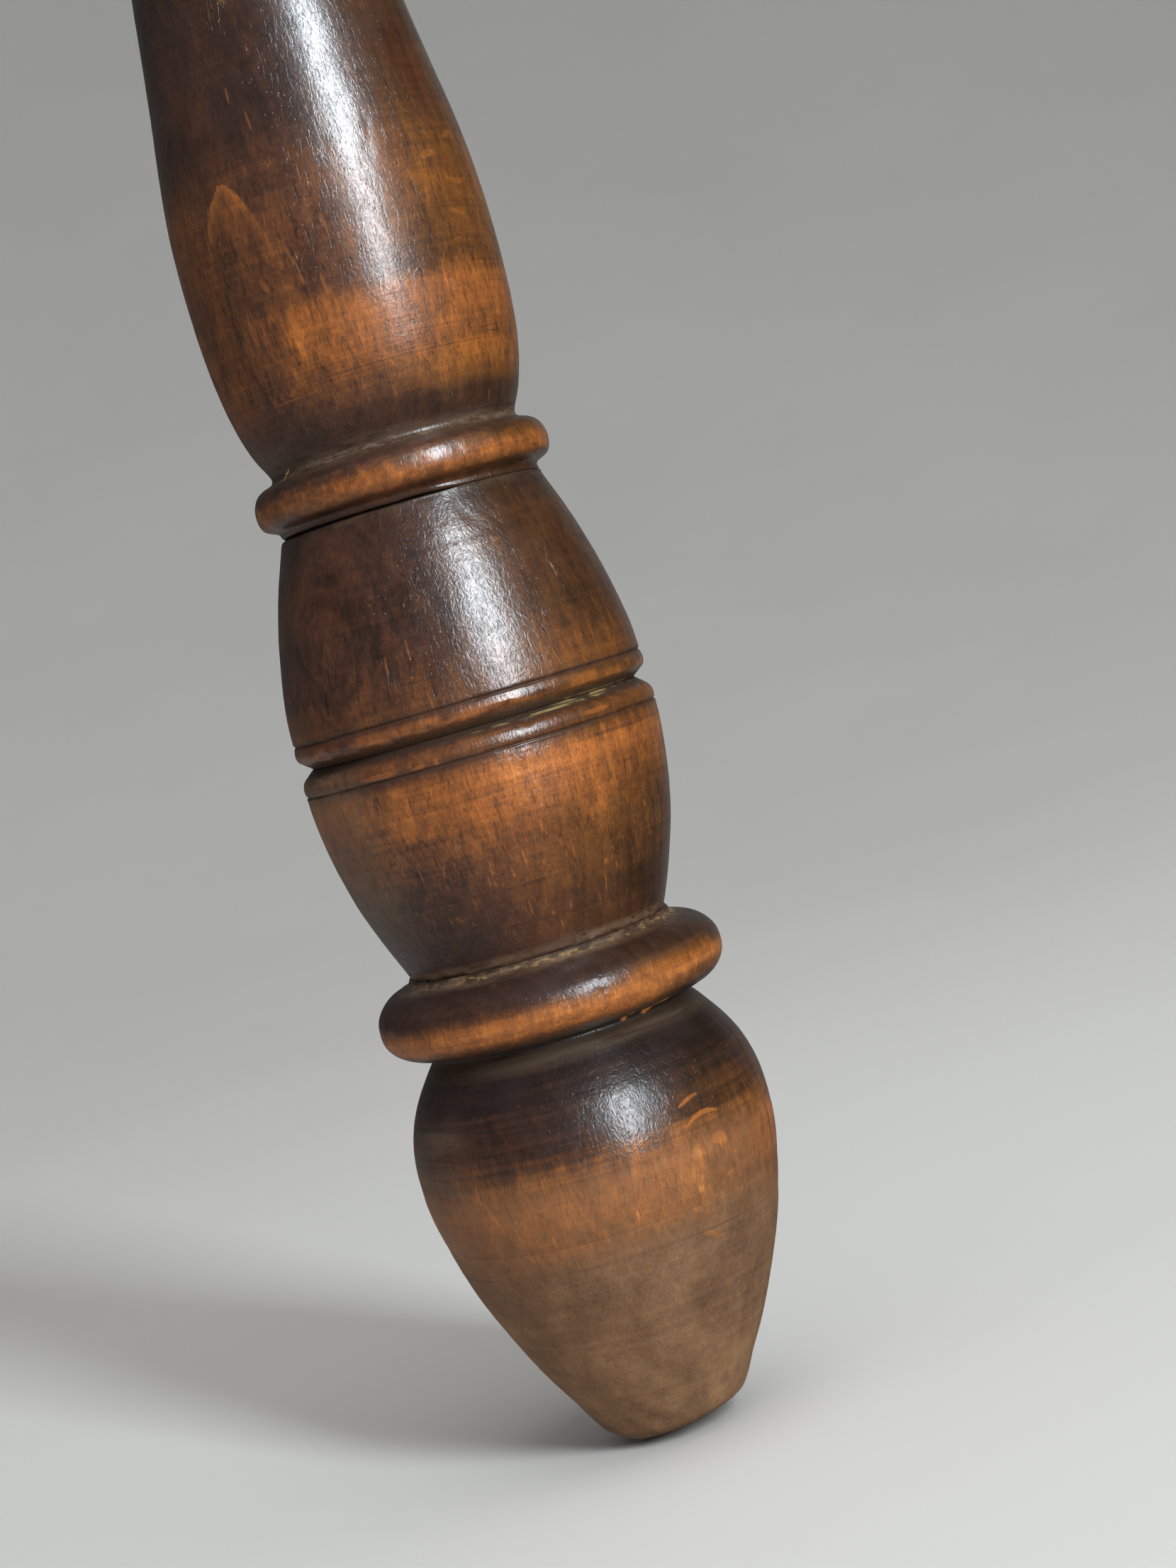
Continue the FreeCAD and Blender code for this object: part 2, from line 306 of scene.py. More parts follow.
def wear_low_barrel(angle, radius, z):
    surface = angle, radius, z
    ends = ease(z, LOW_JOINT, 71.6) * (1 - ease(z, 102.3, MID_JOINT))
    offset = common_wear(201, surface, 73.0, 101.0) - chipped_edges(211, surface, LOW_EDGES)
    return radius + offset * ends, z


def wear_high_barrel(angle, radius, z):
    surface = angle, radius, z
    ends = ease(z, MID_JOINT, 103.3) * (1 - ease(z, 133.1, TOP_JOINT))
    offset = common_wear(301, surface, 105.0, 132.0) - chipped_edges(311, surface, HIGH_EDGES)
    gaping = seam_open(angle)
    offset -= chipped(313, surface, *HIGH_SEAM_EDGE) * gaping
    return radius + offset * ends + (1 - gaping) * 0.30 * near(z, TOP_JOINT, 0.5), z


def wear_shaft(angle, radius, z):
    surface = angle, radius, z
    ends = ease(z, 133.9, 135.0) * (1 - ease(z, 348.6, SHOULDER))
    offset = common_wear(401, surface, 145.0, 346.0) - chipped_edges(411, surface, SHAFT_EDGES)
    gaping = seam_open(angle)
    fine = 0.25 * ring_waves(416, surface, TOP_JOINT, 4.0)
    gap = gaping * (0.22 + 0.14 * fine) * (1 - ease(z, TOP_JOINT, 135.4))
    radius = radius + offset * ends + (1 - gaping) * 0.38 * near(z, TOP_JOINT, 0.8)
    return radius, z + np.clip(gap, 0, 1)


# ---------------------------------------------------------------- the meshes
def ring_points(radius, angle, z):
    return np.stack([radius * np.sin(angle), -radius * np.cos(angle), z], -1)


def turned_mesh(name, outer, inner, wear):
    """Closed mesh of revolution: outer runs from low to high and is worn, inner comes back
    down. A point on the axis becomes one vertex."""
    turn = np.linspace(0, 2 * np.pi, AROUND, endpoint=False)
    angle = np.repeat(turn[None], len(outer), 0)
    radius = np.repeat(outer[:, :1], AROUND, 1)
    z = np.repeat(outer[:, 1:], AROUND, 1)
    radius, z = wear(angle, radius, z)
    rows = list(ring_points(np.minimum(radius, MAX_RADIUS), angle, z))
    for inner_radius, height in inner:
        if inner_radius < 1e-6:
            rows.append(np.array([[0.0, 0.0, height]]))
        else:
            rows.append(ring_points(inner_radius, turn, np.full(AROUND, height)))
    if outer[0, 0] < 1e-6:
        rows[0] = rows[0][:1]
    starts = np.r_[0, np.cumsum([len(row) for row in rows])]
    here = np.arange(AROUND)
    after = (here + 1) % AROUND
    faces = []
    for i in range(len(rows)):
        k = (i + 1) % len(rows)
        low, high = starts[i], starts[k]
        low_ring, high_ring = len(rows[i]) > 1, len(rows[k]) > 1
        if low_ring and high_ring:
            corners = [low + here, low + after, high + after, high + here]
        elif low_ring:
            corners = [low + here, low + after, np.full(AROUND, high)]
        elif high_ring:
            corners = [np.full(AROUND, low), high + after, high + here]
        else:
            continue
        faces += np.stack(corners, -1).tolist()
    mesh = bpy.data.meshes.new(name)
    mesh.from_pydata((np.concatenate(rows) * MM).tolist(), [], faces)
    mesh.validate()
    return add_smooth_object(name, mesh)


def add_smooth_object(name, mesh):
    mesh.polygons.foreach_set("use_smooth", np.ones(len(mesh.polygons), bool))
    mesh.update()
    made = bpy.data.objects.new(name, mesh)
    bpy.context.scene.collection.objects.link(made)
    return made


def bore(low, high):
    """Inner line of a barrel's through hole, from its top to its bottom."""
    return [(BORE_MOUTH, high), (BORE, high - CHAMFER), (BORE, low + CHAMFER), (BORE_MOUTH, low)]


# the foot's underside is closed to the axis
foot_line = np.concatenate([[[0.0, 0.0], [1.0, 0.0], [2.0, 0.0]], foot_line])
foot = turned_mesh(
    "foot_turning", foot_line,
    [(BORE_MOUTH, LOW_JOINT), (BORE, LOW_JOINT - CHAMFER), (BORE, 40.0), (0.0, 40.0)], wear_foot)
low_barrel = turned_mesh("lower_barrel_turning", low_barrel_line,
                         bore(LOW_JOINT, MID_JOINT), wear_low_barrel)
high_barrel = turned_mesh("upper_barrel_turning", high_barrel_line,
                          bore(MID_JOINT, TOP_JOINT), wear_high_barrel)
# the shaft has a blind hole at each end
shaft = turned_mesh(
    "shaft_turning", shaft_line,
    [(11.05, SHOULDER), (10.0, 349.4), (10.0, 315.0), (0.0, 315.0), (0.0, 179.5), (BORE, 179.5),
     (BORE, TOP_JOINT + CHAMFER), (BORE_MOUTH, TOP_JOINT)], wear_shaft)
for turning, node in ((foot, "foot"), (low_barrel, "lower_barrel"),
                      (high_barrel, "upper_barrel"), (shaft, "vase_shaft")):
    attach(turning, "root")
    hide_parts(node)


# -------------------------------------------------------------- shader nodes
class Signal:
    """A shader socket that takes plain arithmetic; each operation makes one node."""

    def __init__(self, tree, socket):
        self.tree, self.socket = tree, socket

    def math(self, operation, *values):
        return math_node(self.tree, operation, self, *values)

    def __add__(self, other):
        return self.math("ADD", other)

    def __radd__(self, other):
        return math_node(self.tree, "ADD", other, self)

    def __sub__(self, other):
        return self.math("SUBTRACT", other)

    def __rsub__(self, other):
        return math_node(self.tree, "SUBTRACT", other, self)

    def __mul__(self, other):
        return self.math("MULTIPLY", other)

    def __rmul__(self, other):
        return math_node(self.tree, "MULTIPLY", other, self)

    def __truediv__(self, other):
        return self.math("DIVIDE", other)

    def __abs__(self):
        return self.math("ABSOLUTE")

    def at_least(self, other):
        return self.math("MAXIMUM", other)

    def at_most(self, other):
        return self.math("MINIMUM", other)

    def wrapped(self):
        """An angle in degrees, brought within half a turn of 0."""
        return self.math("WRAP", 180.0, -180.0)

    def span(self, start, end, first=0.0, last=1.0, shape="LINEAR"):
        """first where the value is at start, last where it is at end."""
        return Signal(self.tree, add_node(self.tree, "ShaderNodeMapRange", self, start, end,
                                          first, last, interpolation_type=shape).outputs[0])

    def ease(self, start, end, first=0.0, last=1.0):
        """As span, but eased at both ends."""
        return self.span(start, end, first, last, "SMOOTHSTEP")

    def ramp(self, stops):
        """Colour ramp of (position, colour)."""
        node = add_node(self.tree, "ShaderNodeValToRGB", self)
        elements = node.color_ramp.elements
        while len(elements) > 1:
            elements.remove(elements[-1])
        elements[0].position = stops[0][0]
        elements[0].color = (*stops[0][1], 1)
        for position, colour in stops[1:]:
            elements.new(position).color = (*colour, 1)
        return Signal(self.tree, node.outputs[0])

    def table(self, points):
        """Straight-line table of (value, result), as a ramp of greys."""
        low, high = points[0][0], points[-1][0]
        return self.span(low, high).ramp(
            [((at - low) / (high - low), (result,) * 3) for at, result in points])


def put(value, socket):
    """Links a signal to a socket, or sets a number, vector or colour on it."""
    if isinstance(value, Signal):
        value.tree.links.new(value.socket, socket)
    elif isinstance(value, tuple):
        socket.default_value = (*value, 1.0)[:len(socket.default_value)]
    else:
        socket.default_value = value


def add_node(tree, kind, *inputs, **settings):
    """Makes a node with inputs in socket order; None leaves a socket as it is."""
    node = tree.nodes.new(kind)
    for name, value in settings.items():
        setattr(node, name, value)
    for value, socket in zip(inputs, node.inputs):
        if value is not None:
            put(value, socket)
    return node


def math_node(tree, operation, *values):
    node = add_node(tree, "ShaderNodeMath", *values, operation=operation)
    return Signal(tree, node.outputs[0])


def split(tree, vector):
    """The x, y and z of a vector."""
    return [Signal(tree, socket)
            for socket in add_node(tree, "ShaderNodeSeparateXYZ", vector).outputs]


def stroke_group():
    """One chip: 1 inside a bent oval on the turned surface, 0 outside."""
    group = bpy.data.node_groups.get("stroke")
    if group is not None:
        return group
    group = bpy.data.node_groups.new("stroke", "ShaderNodeTree")
    for name in ("phi", "r", "z", "edge", "angle", "height", "cos", "sin", "bend",
                 "per_length", "per_width"):
        group.interface.new_socket(name, in_out="INPUT", socket_type="NodeSocketFloat")
    group.interface.new_socket("mask", in_out="OUTPUT", socket_type="NodeSocketFloat")
    (surface_angle, radius, z, edge, angle, height, cosine, sine, bend, per_length,
     per_width) = [Signal(group, s) for s in list(group.nodes.new("NodeGroupInput").outputs)[:11]]
    side = (surface_angle - angle).wrapped() * DEGREE * radius
    rise = z - height
    along = side * cosine + rise * sine
    across = rise * cosine - side * sine
    across -= along * along * bend
    along_part, across_part = along * per_length, across * per_width
    reach = along_part * along_part + across_part * across_part + edge
    put(reach.ease(1.30, 0.60), group.nodes.new("NodeGroupOutput").inputs[0])
    return group


class Wood:
    """A material laid out by place in mm: x, y, z, and the angle (degrees) and radius."""

    def __init__(self, name):
        self.material = bpy.data.materials.new(name)
        self.material.use_nodes = True
        self.tree = self.material.node_tree
        self.bsdf = self.tree.nodes["Principled BSDF"]
        self.place = self.vector("SCALE", self.output("ShaderNodeTexCoord", "Object"), 1 / MM)
        self.x, self.y, self.z = split(self.tree, self.place)

    def output(self, kind, name):
        return Signal(self.tree, self.tree.nodes.new(kind).outputs[name])

    @cached_property
    def radius(self):
        return (self.x * self.x + self.y * self.y).math("SQRT")

    @cached_property
    def angle(self):
        return self.x.math("ARCTAN2", self.y * -1.0) * (180 / math.pi)

    def vector(self, operation, value, other):
        node = add_node(self.tree, "ShaderNodeVectorMath", value, operation=operation)
        put(other, node.inputs["Scale" if operation == "SCALE" else 1])
        return Signal(self.tree, node.outputs[0])

    def texture(self, kind, output, size, size_z, at, **values):
        """A texture with features size mm across the grain and size_z along it, moved by at."""
        stretch = (1 / size, 1 / size, 1 / (size_z or size))
        place = self.vector("MULTIPLY", self.vector("ADD", self.place, at), stretch)
        node = add_node(self.tree, kind, place)
        for name, value in values.items():
            node.inputs[name].default_value = value
        return Signal(self.tree, node.outputs[output])

    def noise(self, size, size_z=None, detail=3.0, rough=0.6, at=(0, 0, 0), distort=0.0):
        return self.texture("ShaderNodeTexNoise", 0, size, size_z, at, Scale=1.0, Detail=detail,
                            Roughness=rough, Distortion=distort)

    def cloud(self, size, size_z=None, at=(0, 0, 0)):
        """Softer noise."""
        return self.noise(size, size_z, detail=2.0, rough=0.5, at=at)

    def ripple(self, *sizes, **settings):
        """Noise about 0."""
        return self.noise(*sizes, **settings) - 0.5

    def cells(self, size, size_z=None, at=(0, 0, 0)):
        return self.texture("ShaderNodeTexVoronoi", "Distance", size, size_z, at, Scale=1.0)

    def blend(self, factor, first, second, mode="MIX"):
        node = add_node(self.tree, "ShaderNodeMix", factor, *[None] * 5, first, second,
                        data_type="RGBA", blend_type=mode)
        return Signal(self.tree, node.outputs[2])

    def mix(self, factor, first, second):
        node = add_node(self.tree, "ShaderNodeMix", factor, None, first, second,
                        data_type="FLOAT")
        return Signal(self.tree, node.outputs[0])

    def band(self, height, half, soft):
        """1 within half mm of a height, easing out over soft mm more."""
        return abs(self.z - height).ease(half, half + soft, 1.0, 0.0)

    def sector(self, angle, half, soft):
        """1 within half degrees of an angle, easing out over soft degrees more."""
        return abs((self.angle - angle).wrapped()).ease(half, half + soft, 1.0, 0.0)

    def patches(self, bare, rows):
        """Adds to or takes from bare in patches; rows are sector, band and amount."""
        for angle, half, soft, height, half_z, soft_z, amount in rows:
            mask = self.sector(angle, half, soft) * self.band(height, half_z, soft_z)
            bare = bare - mask * -amount if amount < 0 else bare + mask * amount
        return bare

    def oval(self, angle, height, across, along, wobble):
        """Distance from a place, in parts of an oval's half sizes across and along the leg."""
        side = (self.angle - angle).wrapped() * DEGREE * self.radius / across
        rise = (self.z - height) / along
        return (side * side + rise * rise).math("SQRT") + wobble

    def heart_distance(self, x, y):
        """Distance from the heart of the tree, an upright line."""
        side, deep = self.x - x, self.y - y
        return (side * side + deep * deep).math("SQRT")

    def stroke(self, edge, angle, height, length, width, tilt, bend=0.0):
        tilt = math.radians(tilt)
        node = add_node(
            self.tree, "ShaderNodeGroup", self.angle, self.radius, self.z, edge, angle, height,
            math.cos(tilt), math.sin(tilt), bend, 1 / length, 1 / width, node_tree=stroke_group())
        return Signal(self.tree, node.outputs[0])

    def strokes(self, rows, ragged=1.3):
        """Mask of chips and flakes with ragged edges, from a table of strokes."""
        edge = self.ripple(0.5, 0.65, detail=2.0, rough=0.65, at=(5, 5, 5)) * ragged
        mask = self.stroke(edge, *rows[0])
        for row in rows[1:]:
            mask = mask.at_least(self.stroke(edge, *row))
        return mask

    def chip_off(self, bare, rows, strength, least, lift=0.0, ragged=1.3):
        """Lifts bare to at least a level inside the strokes."""
        lifted = bare + lift if lift else bare
        return self.mix(self.strokes(rows, ragged) * strength, bare, lifted.at_least(least))

    def finish(self, colour, rough, height, specular):
        """Wires up the surface, with relief in mm, and gives back the bumped normal."""
        bump = self.tree.nodes.new("ShaderNodeBump")
        put(1.0, bump.inputs["Strength"])
        put(MM, bump.inputs["Distance"])
        put(height, bump.inputs["Height"])
        normal = Signal(self.tree, bump.outputs[0])
        for name, value in (("Normal", normal), ("Base Color", colour), ("Roughness", rough),
                            ("Specular IOR Level", specular)):
            put(value, self.bsdf.inputs[name])
        return normal


def rgb(*levels):
    """sRGB 0-255 to linear."""
    parts = [level / 255 for level in levels]
    return tuple(v / 12.92 if v <= 0.04045 else ((v + 0.055) / 1.055) ** 2.4 for v in parts)


# ---------------------------------------------------------- the stained wood
# How far the stain is rubbed through, and the colour there
STAIN = [
    (0.00, rgb(34, 24, 22)),
    (0.15, rgb(50, 33, 27)),
    (0.32, rgb(76, 47, 33)),
    (0.50, rgb(108, 65, 36)),
    (0.68, rgb(146, 86, 42)),
    (0.85, rgb(182, 109, 50)),
    (1.00, rgb(212, 137, 68)),
]
# Colours of the matt bare wood, by tone
BARE_TAN = [(0.20, rgb(82, 57, 42)), (0.38, rgb(113, 82, 58)), (0.52, rgb(133, 98, 69)),
            (0.74, rgb(160, 122, 86))]
RED, OLIVE, PURPLE = rgb(122, 52, 34), rgb(104, 106, 62), rgb(56, 43, 44)
YELLOW_TINT, WARM_TINT = (0.98, 0.985, 0.66), (1.0, 0.925, 0.76)
FADED, PORE, SCRATCH = rgb(124, 90, 62), rgb(34, 22, 17), rgb(186, 136, 92)
HEART = (95.0, 70.0)      # x, y of the plank's heart, beyond the back right
RING_PITCH = 2.9


def stain_grain(wood, seed, at):
    """Textures shared by colour, gloss and relief; the ripples are about 0."""
    distance = (wood.heart_distance(*HEART) + wood.z * 0.035
                + (wood.cloud(16, 90, at=at) - 0.5) * 5.0)
    ring = (distance / RING_PITCH).math("FRACT")
    ring = ring * ring.ease(0.86, 1.0, 1.0, 0.0)
    stroke = wood.noise(0.55, 2.9, rough=0.62, at=at, distort=0.7)
    craze = wood.noise(0.85, 1.2, detail=1.5, rough=0.5, at=(seed, 2, 2), distort=1.8)
    pore = wood.cells(0.55, 1.4, at=at).ease(0.16, 0.07)
    reach = wood.cloud(4.0, 9.0, at=(seed + 4, 4, 9))
    line = abs(wood.ripple(1.7, 9.0, detail=1.0, rough=0.5, at=(seed + 7, 5, 3), distort=1.2))
    return SimpleNamespace(
        rings=ring - 0.45,
        dark_stroke=stroke.ease(0.47, 0.34),
        light_stroke=stroke.ease(0.57, 0.70),
        fibre=wood.ripple(0.24, 4.5, at=at),
        blotch=wood.ripple(7.5, 9.0, rough=0.55, at=(seed + 3, 1, 2), distort=0.6),
        patch=wood.ripple(1.9, 2.9, detail=4.0, rough=0.65, at=(seed + 5, 8, 1), distort=0.5),
        grit=wood.ripple(0.42, 0.6, rough=0.7, at=(seed + 6, 3, 1)),
        turn=wood.ripple(34.0, 0.65, rough=0.65, at=at),      # turning marks
        craze=craze,                                          # crazed varnish
        curl=abs(craze - 0.5).ease(0.035, 0.0),
        pore=pore * wood.cloud(3.0, 5.0, at=at).ease(0.45, 0.6),
        scratch=line.ease(0.010, 0.0) * reach.ease(0.56, 0.70),
    )


def rubbed_level(wood, rub, steady, at):
    """The rub table read at heights that wander a little, so no band has a ruled edge."""
    wander = (wood.cloud(12, at=at) - 0.5) * 3.6 + wood.ripple(1.3, 3.4, at=at) * 4.2
    for height, half in steady:
        wander = wander * (1.0 - wood.band(height, half, 1.5) * 0.80)
    return (wood.z + wander).at_least(rub[0][0]).at_most(rub[-1][0]).table(rub)


def grained_level(wood, grain, steady):
    """Adds the grain to the rubbed level; pairs are its strength in dark and in rubbed wood."""
    flat = wood.flat
    mid = flat.ease(0.06, 0.55)
    calm = 1.0
    for height, half in steady:
        calm = calm * (1.0 - wood.band(height, half, 1.5) * 0.55)
    return (
        flat
        + grain.rings * 0.07
        + grain.blotch * calm * wood.mix(mid, 0.20, 0.36)
        + grain.patch * wood.mix(mid, 0.13, 0.32)
        + grain.fibre * calm * wood.mix(mid, 0.08, 0.22)
        + grain.grit * wood.mix(mid, 0.12, 0.28)
        + grain.dark_stroke * calm * wood.mix(mid, -0.02, -0.14)
        + grain.light_stroke * wood.mix(mid, 0.05, 0.10)
        + grain.curl * wood.mix(mid, 0.03, -0.10)
        + grain.turn * wood.mix(mid, 0.12, 0.26)
    )


def tinted(wood, colour, seed, warm):
    """The stain drifts between red-brown, olive and purple."""
    flat, sector = wood.flat, wood.sector
    drift = wood.noise(15, 19, at=(seed + 2, 6, 4))
    dull = flat.ease(0.75, 0.25)
    colour = wood.blend(drift.ease(0.52, 0.70, 0.0, 0.34) * dull, colour, RED, "OVERLAY")
    colour = wood.blend(drift.ease(0.48, 0.30, 0.0, 0.40) * dull, colour, OLIVE, "OVERLAY")
    colour = wood.blend(sector(62, 34, 34) * flat.ease(0.80, 0.45) * 0.85, colour, YELLOW_TINT,
                        "MULTIPLY")
    if warm:
        mask = sector(26, 36, 28) * flat.ease(0.38, 0.62) * wood.z.ease(167, 159) * warm
        colour = wood.blend(mask, colour, WARM_TINT, "MULTIPLY")
    purple = wood.cloud(9, 8, at=(seed + 9, 2, 4)).ease(0.46, 0.66, 0.05, 0.36)
    return wood.blend(purple * flat.ease(0.36, 0.14), colour, PURPLE)


def worn_bare(wood, colour, matt, grain, seed):
    """Fades the stain at the front, then shows grimy tan wood where it is matt."""
    sector, band, z = wood.sector, wood.band, wood.z
    faded = (sector(-10, 60, 30) * z.ease(47, 40)
             * wood.noise(1.1, 2.6, at=(1, 9, 9)).ease(0.30, 0.66, 0.28, 0.56))
    colour = wood.blend(faded, colour, FADED)
    grime = wood.noise(6.0, 7.0, detail=4.0, rough=0.62, at=(seed + 8, 2, 5))
    tone = (
        0.07 + grime * 0.48 + (grain.grit + 0.5) * 0.26 + grain.fibre * 0.22
        + grain.turn * 0.20 + grain.patch * 0.22 + grain.curl * -0.04
        # painted light and shade that flatten the lamp's shading: lighter on the left, darker at
        # the right of the belly; and other lighter and darker patches round the foot
        + sector(-74, 22, 20) * 0.05
        + sector(-30, 12, 16) * band(28, 5, 5) * -0.07
        + sector(42, 10, 16) * band(25, 8, 8) * -0.07
        + sector(56, 22, 18) * z.ease(20, 8) * 0.12
        + sector(-30, 16, 16) * z.ease(22, 14) * 0.05
    )
    return wood.blend(matt, colour, tone.ramp(BARE_TAN))


def stained_wood(name, rub, gloss, marks, dirt_and_shade, seed, steady, worn=None, crackle=1.0, warm=0.0):
    """Dark stain under varnish, rubbed through where rub is high.

    rub: table of height to how far the stain is rubbed through. gloss: table of height to what
    is left of the varnish, in parts of 1.3. marks(wood, bare) adds local marks to the rubbed
    level. dirt_and_shade(wood): list of (mask, colour), for dirt and for painted shade. steady:
    (height, half) stretches where the bands run true. worn(wood): 0 to 1, bare and matt.
    crackle: how rough the crazed varnish is.
    warm: how much redder the bare wood is towards the front right."""
    wood = Wood(name)
    at = (seed, seed * 0.7, seed * 1.3)
    wood.flat = flat = rubbed_level(wood, rub, steady, at)
    grain = stain_grain(wood, seed, at)
    bare = marks(wood, grained_level(wood, grain, steady))
    colour = tinted(wood, bare.at_most(1.0).at_least(0.0).ramp(STAIN), seed, warm)
    matt = 0.0
    if worn is not None:
        matt = worn(wood)
        colour = worn_bare(wood, colour, matt, grain, seed)
    colour = wood.blend(grain.pore * 0.30, colour, PORE)
    colour = wood.blend(grain.scratch * 0.20, colour, SCRATCH)

    varnished = 0.38 + grain.patch * 0.12 + flat.ease(0.3, 0.9) * 0.10
    rough = wood.mix(matt, varnished, 0.66 + grain.patch * 0.1)
    coat = ((grain.patch * 0.5 + grain.grit).ease(-0.16, 0.06, 0.62, 1.06)
            * grain.craze.ease(0.38, 0.55, 0.84, 1.06) * wood.z.table(gloss) * 1.3)
    shine = wood.mix(matt, coat * flat.ease(0.45, 0.75, 1.0, 0.85), 0.03)
    for mask, tint in dirt_and_shade(wood):
        colour = wood.blend(mask, colour, tint)
        rough = wood.mix(mask * 0.6, rough, 0.62)
        shine = wood.mix(mask, shine, 0.1)

    # relief in mm; pairs are for varnished and for matt wood
    craze_big = wood.noise(2.4, 4.2, rough=0.55, at=(seed + 6, 2, 2), distort=1.0)
    height = (
        grain.craze * wood.mix(matt, 0.046 * crackle, 0.034)
        + craze_big * wood.mix(matt, 0.036 * crackle, 0.045)
        + grain.fibre * 0.010
        + grain.turn * 0.024
        + grain.dark_stroke * -0.010
        + grain.pore * -0.03
        + grain.scratch * -0.02
        + grain.grit * wood.mix(matt, 0.012, 0.050)
    )
    normal = wood.finish(colour, rough, height, specular=wood.mix(matt, 0.20, 0.2))
    put(normal, wood.bsdf.inputs["Coat Normal"])
    put(shine * 0.85, wood.bsdf.inputs["Coat Weight"])
    put(0.25, wood.bsdf.inputs["Coat Roughness"])
    return wood.material


RESIDUE = rgb(146, 126, 82)
# Columns of the tables below:
# patches: angle, half and soft (degrees), height, half and soft (mm), amount
# flakes and other strokes: angle, height, half length, half width, tilt in degrees, bend if any

# --- foot: near-black shoulder, orange belly, bare matt lower half
# the rows at 46 and 42 degrees are painted shade and the row at -78 is painted light: they flatten
# the lamp's shading on the foot, and the one at 54 mm also tones down the glint
FOOT_PATCHES = [
    (46, 12, 18, 41, 5, 4, -0.09), (74, 22, 18, 42, 9, 4, -0.03),
    (-32, 26, 20, 40, 4, 4, -0.10), (56, 20, 18, 48.5, 2.5, 4, 0.13),
    (-78, 22, 24, 42, 7, 5, 0.12), (42, 18, 14, 54, 3, 3, -0.07)]
FOOT_BEAD_PATCHES = [(46, 14, 14, 66.4, 0.6, 0.8, 0.18), (62, 16, 12, 62.4, 0.9, 0.9, -0.20)]
FOOT_FLAKES = [
    (33.9, 47.9, 2.0, 0.28, 14, -0.05), (37.0, 45.6, 2.9, 0.36, 5, -0.09),
    (31.6, 41.0, 1.15, 0.80, 50), (41.0, 41.6, 1.5, 0.85, -14, -0.10),
    (28.8, 38.8, 1.3, 0.30, 84), (30.3, 36.1, 0.50, 0.50, 0), (34.1, 34.9, 0.34, 0.34, 0),
    (28.1, 33.5, 0.9, 0.42, -24), (31.6, 29.7, 1.5, 0.45, -30), (35.4, 28.8, 0.9, 0.24, 5),
    (-3.2, 34.2, 1.1, 0.28, 92), (24.0, 27.3, 0.6, 0.22, 110), (12.8, 44.2, 1.4, 0.18, 88),
    (9.8, 45.1, 1.1, 0.13, 88), (42.7, 36.5, 0.65, 0.42, 20), (12.9, 33.4, 0.6, 0.3, 85),
    (-37.5, 39.5, 2.6, 0.34, 112), (-41.0, 42.6, 1.5, 0.18, 95), (-20.0, 35.0, 0.8, 0.3, 95),
    (8.0, 35.6, 0.9, 0.25, 95), (-104.0, 41.0, 2.1, 0.5, 70), (-122.0, 45.5, 2.6, 0.32, 12, -0.05),
    (137.0, 39.0, 1.6, 0.6, 80), (168.0, 43.0, 2.2, 0.34, 20, -0.06), (96.0, 36.0, 1.4, 0.3, 100)]
LOWEST_FLAKES = [row for row in FOOT_FLAKES if row[1] < 30]
FOOT_ORANGE_CHIPS = [(41, 60.3, 1.4, 0.5, 20), (28, 60.2, 0.6, 0.5, 60), (-64, 60.4, 1.1, 0.4, 10),
                     (150, 60.3, 1.3, 0.4, 12)]


def foot_marks(wood, bare):
    bare = wood.patches(bare, FOOT_PATCHES)
    # brushed rings between the dark shoulder and the belly
    rings = wood.ripple(26, 0.9, detail=4, rough=0.68, at=(3, 1, 4))
    bare += rings * wood.band(50, 6, 4) * 0.62
    bead = wood.ripple(2.8, 1.3, rough=0.62, at=(2, 7, 9))
    bare += bead * wood.band(64.5, 3.0, 1.0) * 0.26
    bare = wood.patches(bare, FOOT_BEAD_PATCHES)
    # a small knot, dark in the middle with torn edges, and the flakes round it
    knot = wood.oval(38, 37.9, across=3.1, along=2.9, wobble=wood.ripple(1.1, rough=0.7) * 1.9)
    bare -= knot.ease(0.75, 1.05, 1.0, 0.0) * 0.09
    bare += abs(knot - 1.12).ease(0.20, 0.06) * 0.05
    return wood.chip_off(bare, FOOT_FLAKES, strength=0.85, least=0.74, lift=0.18)


def foot_worn(wood):
    level = wood.z + wood.ripple(9) * 9.0 + wood.ripple(1.0, 2.6) * 5.0
    return level.ease(36.5, 27.5) * (1.0 - wood.strokes(LOWEST_FLAKES) * 0.8)


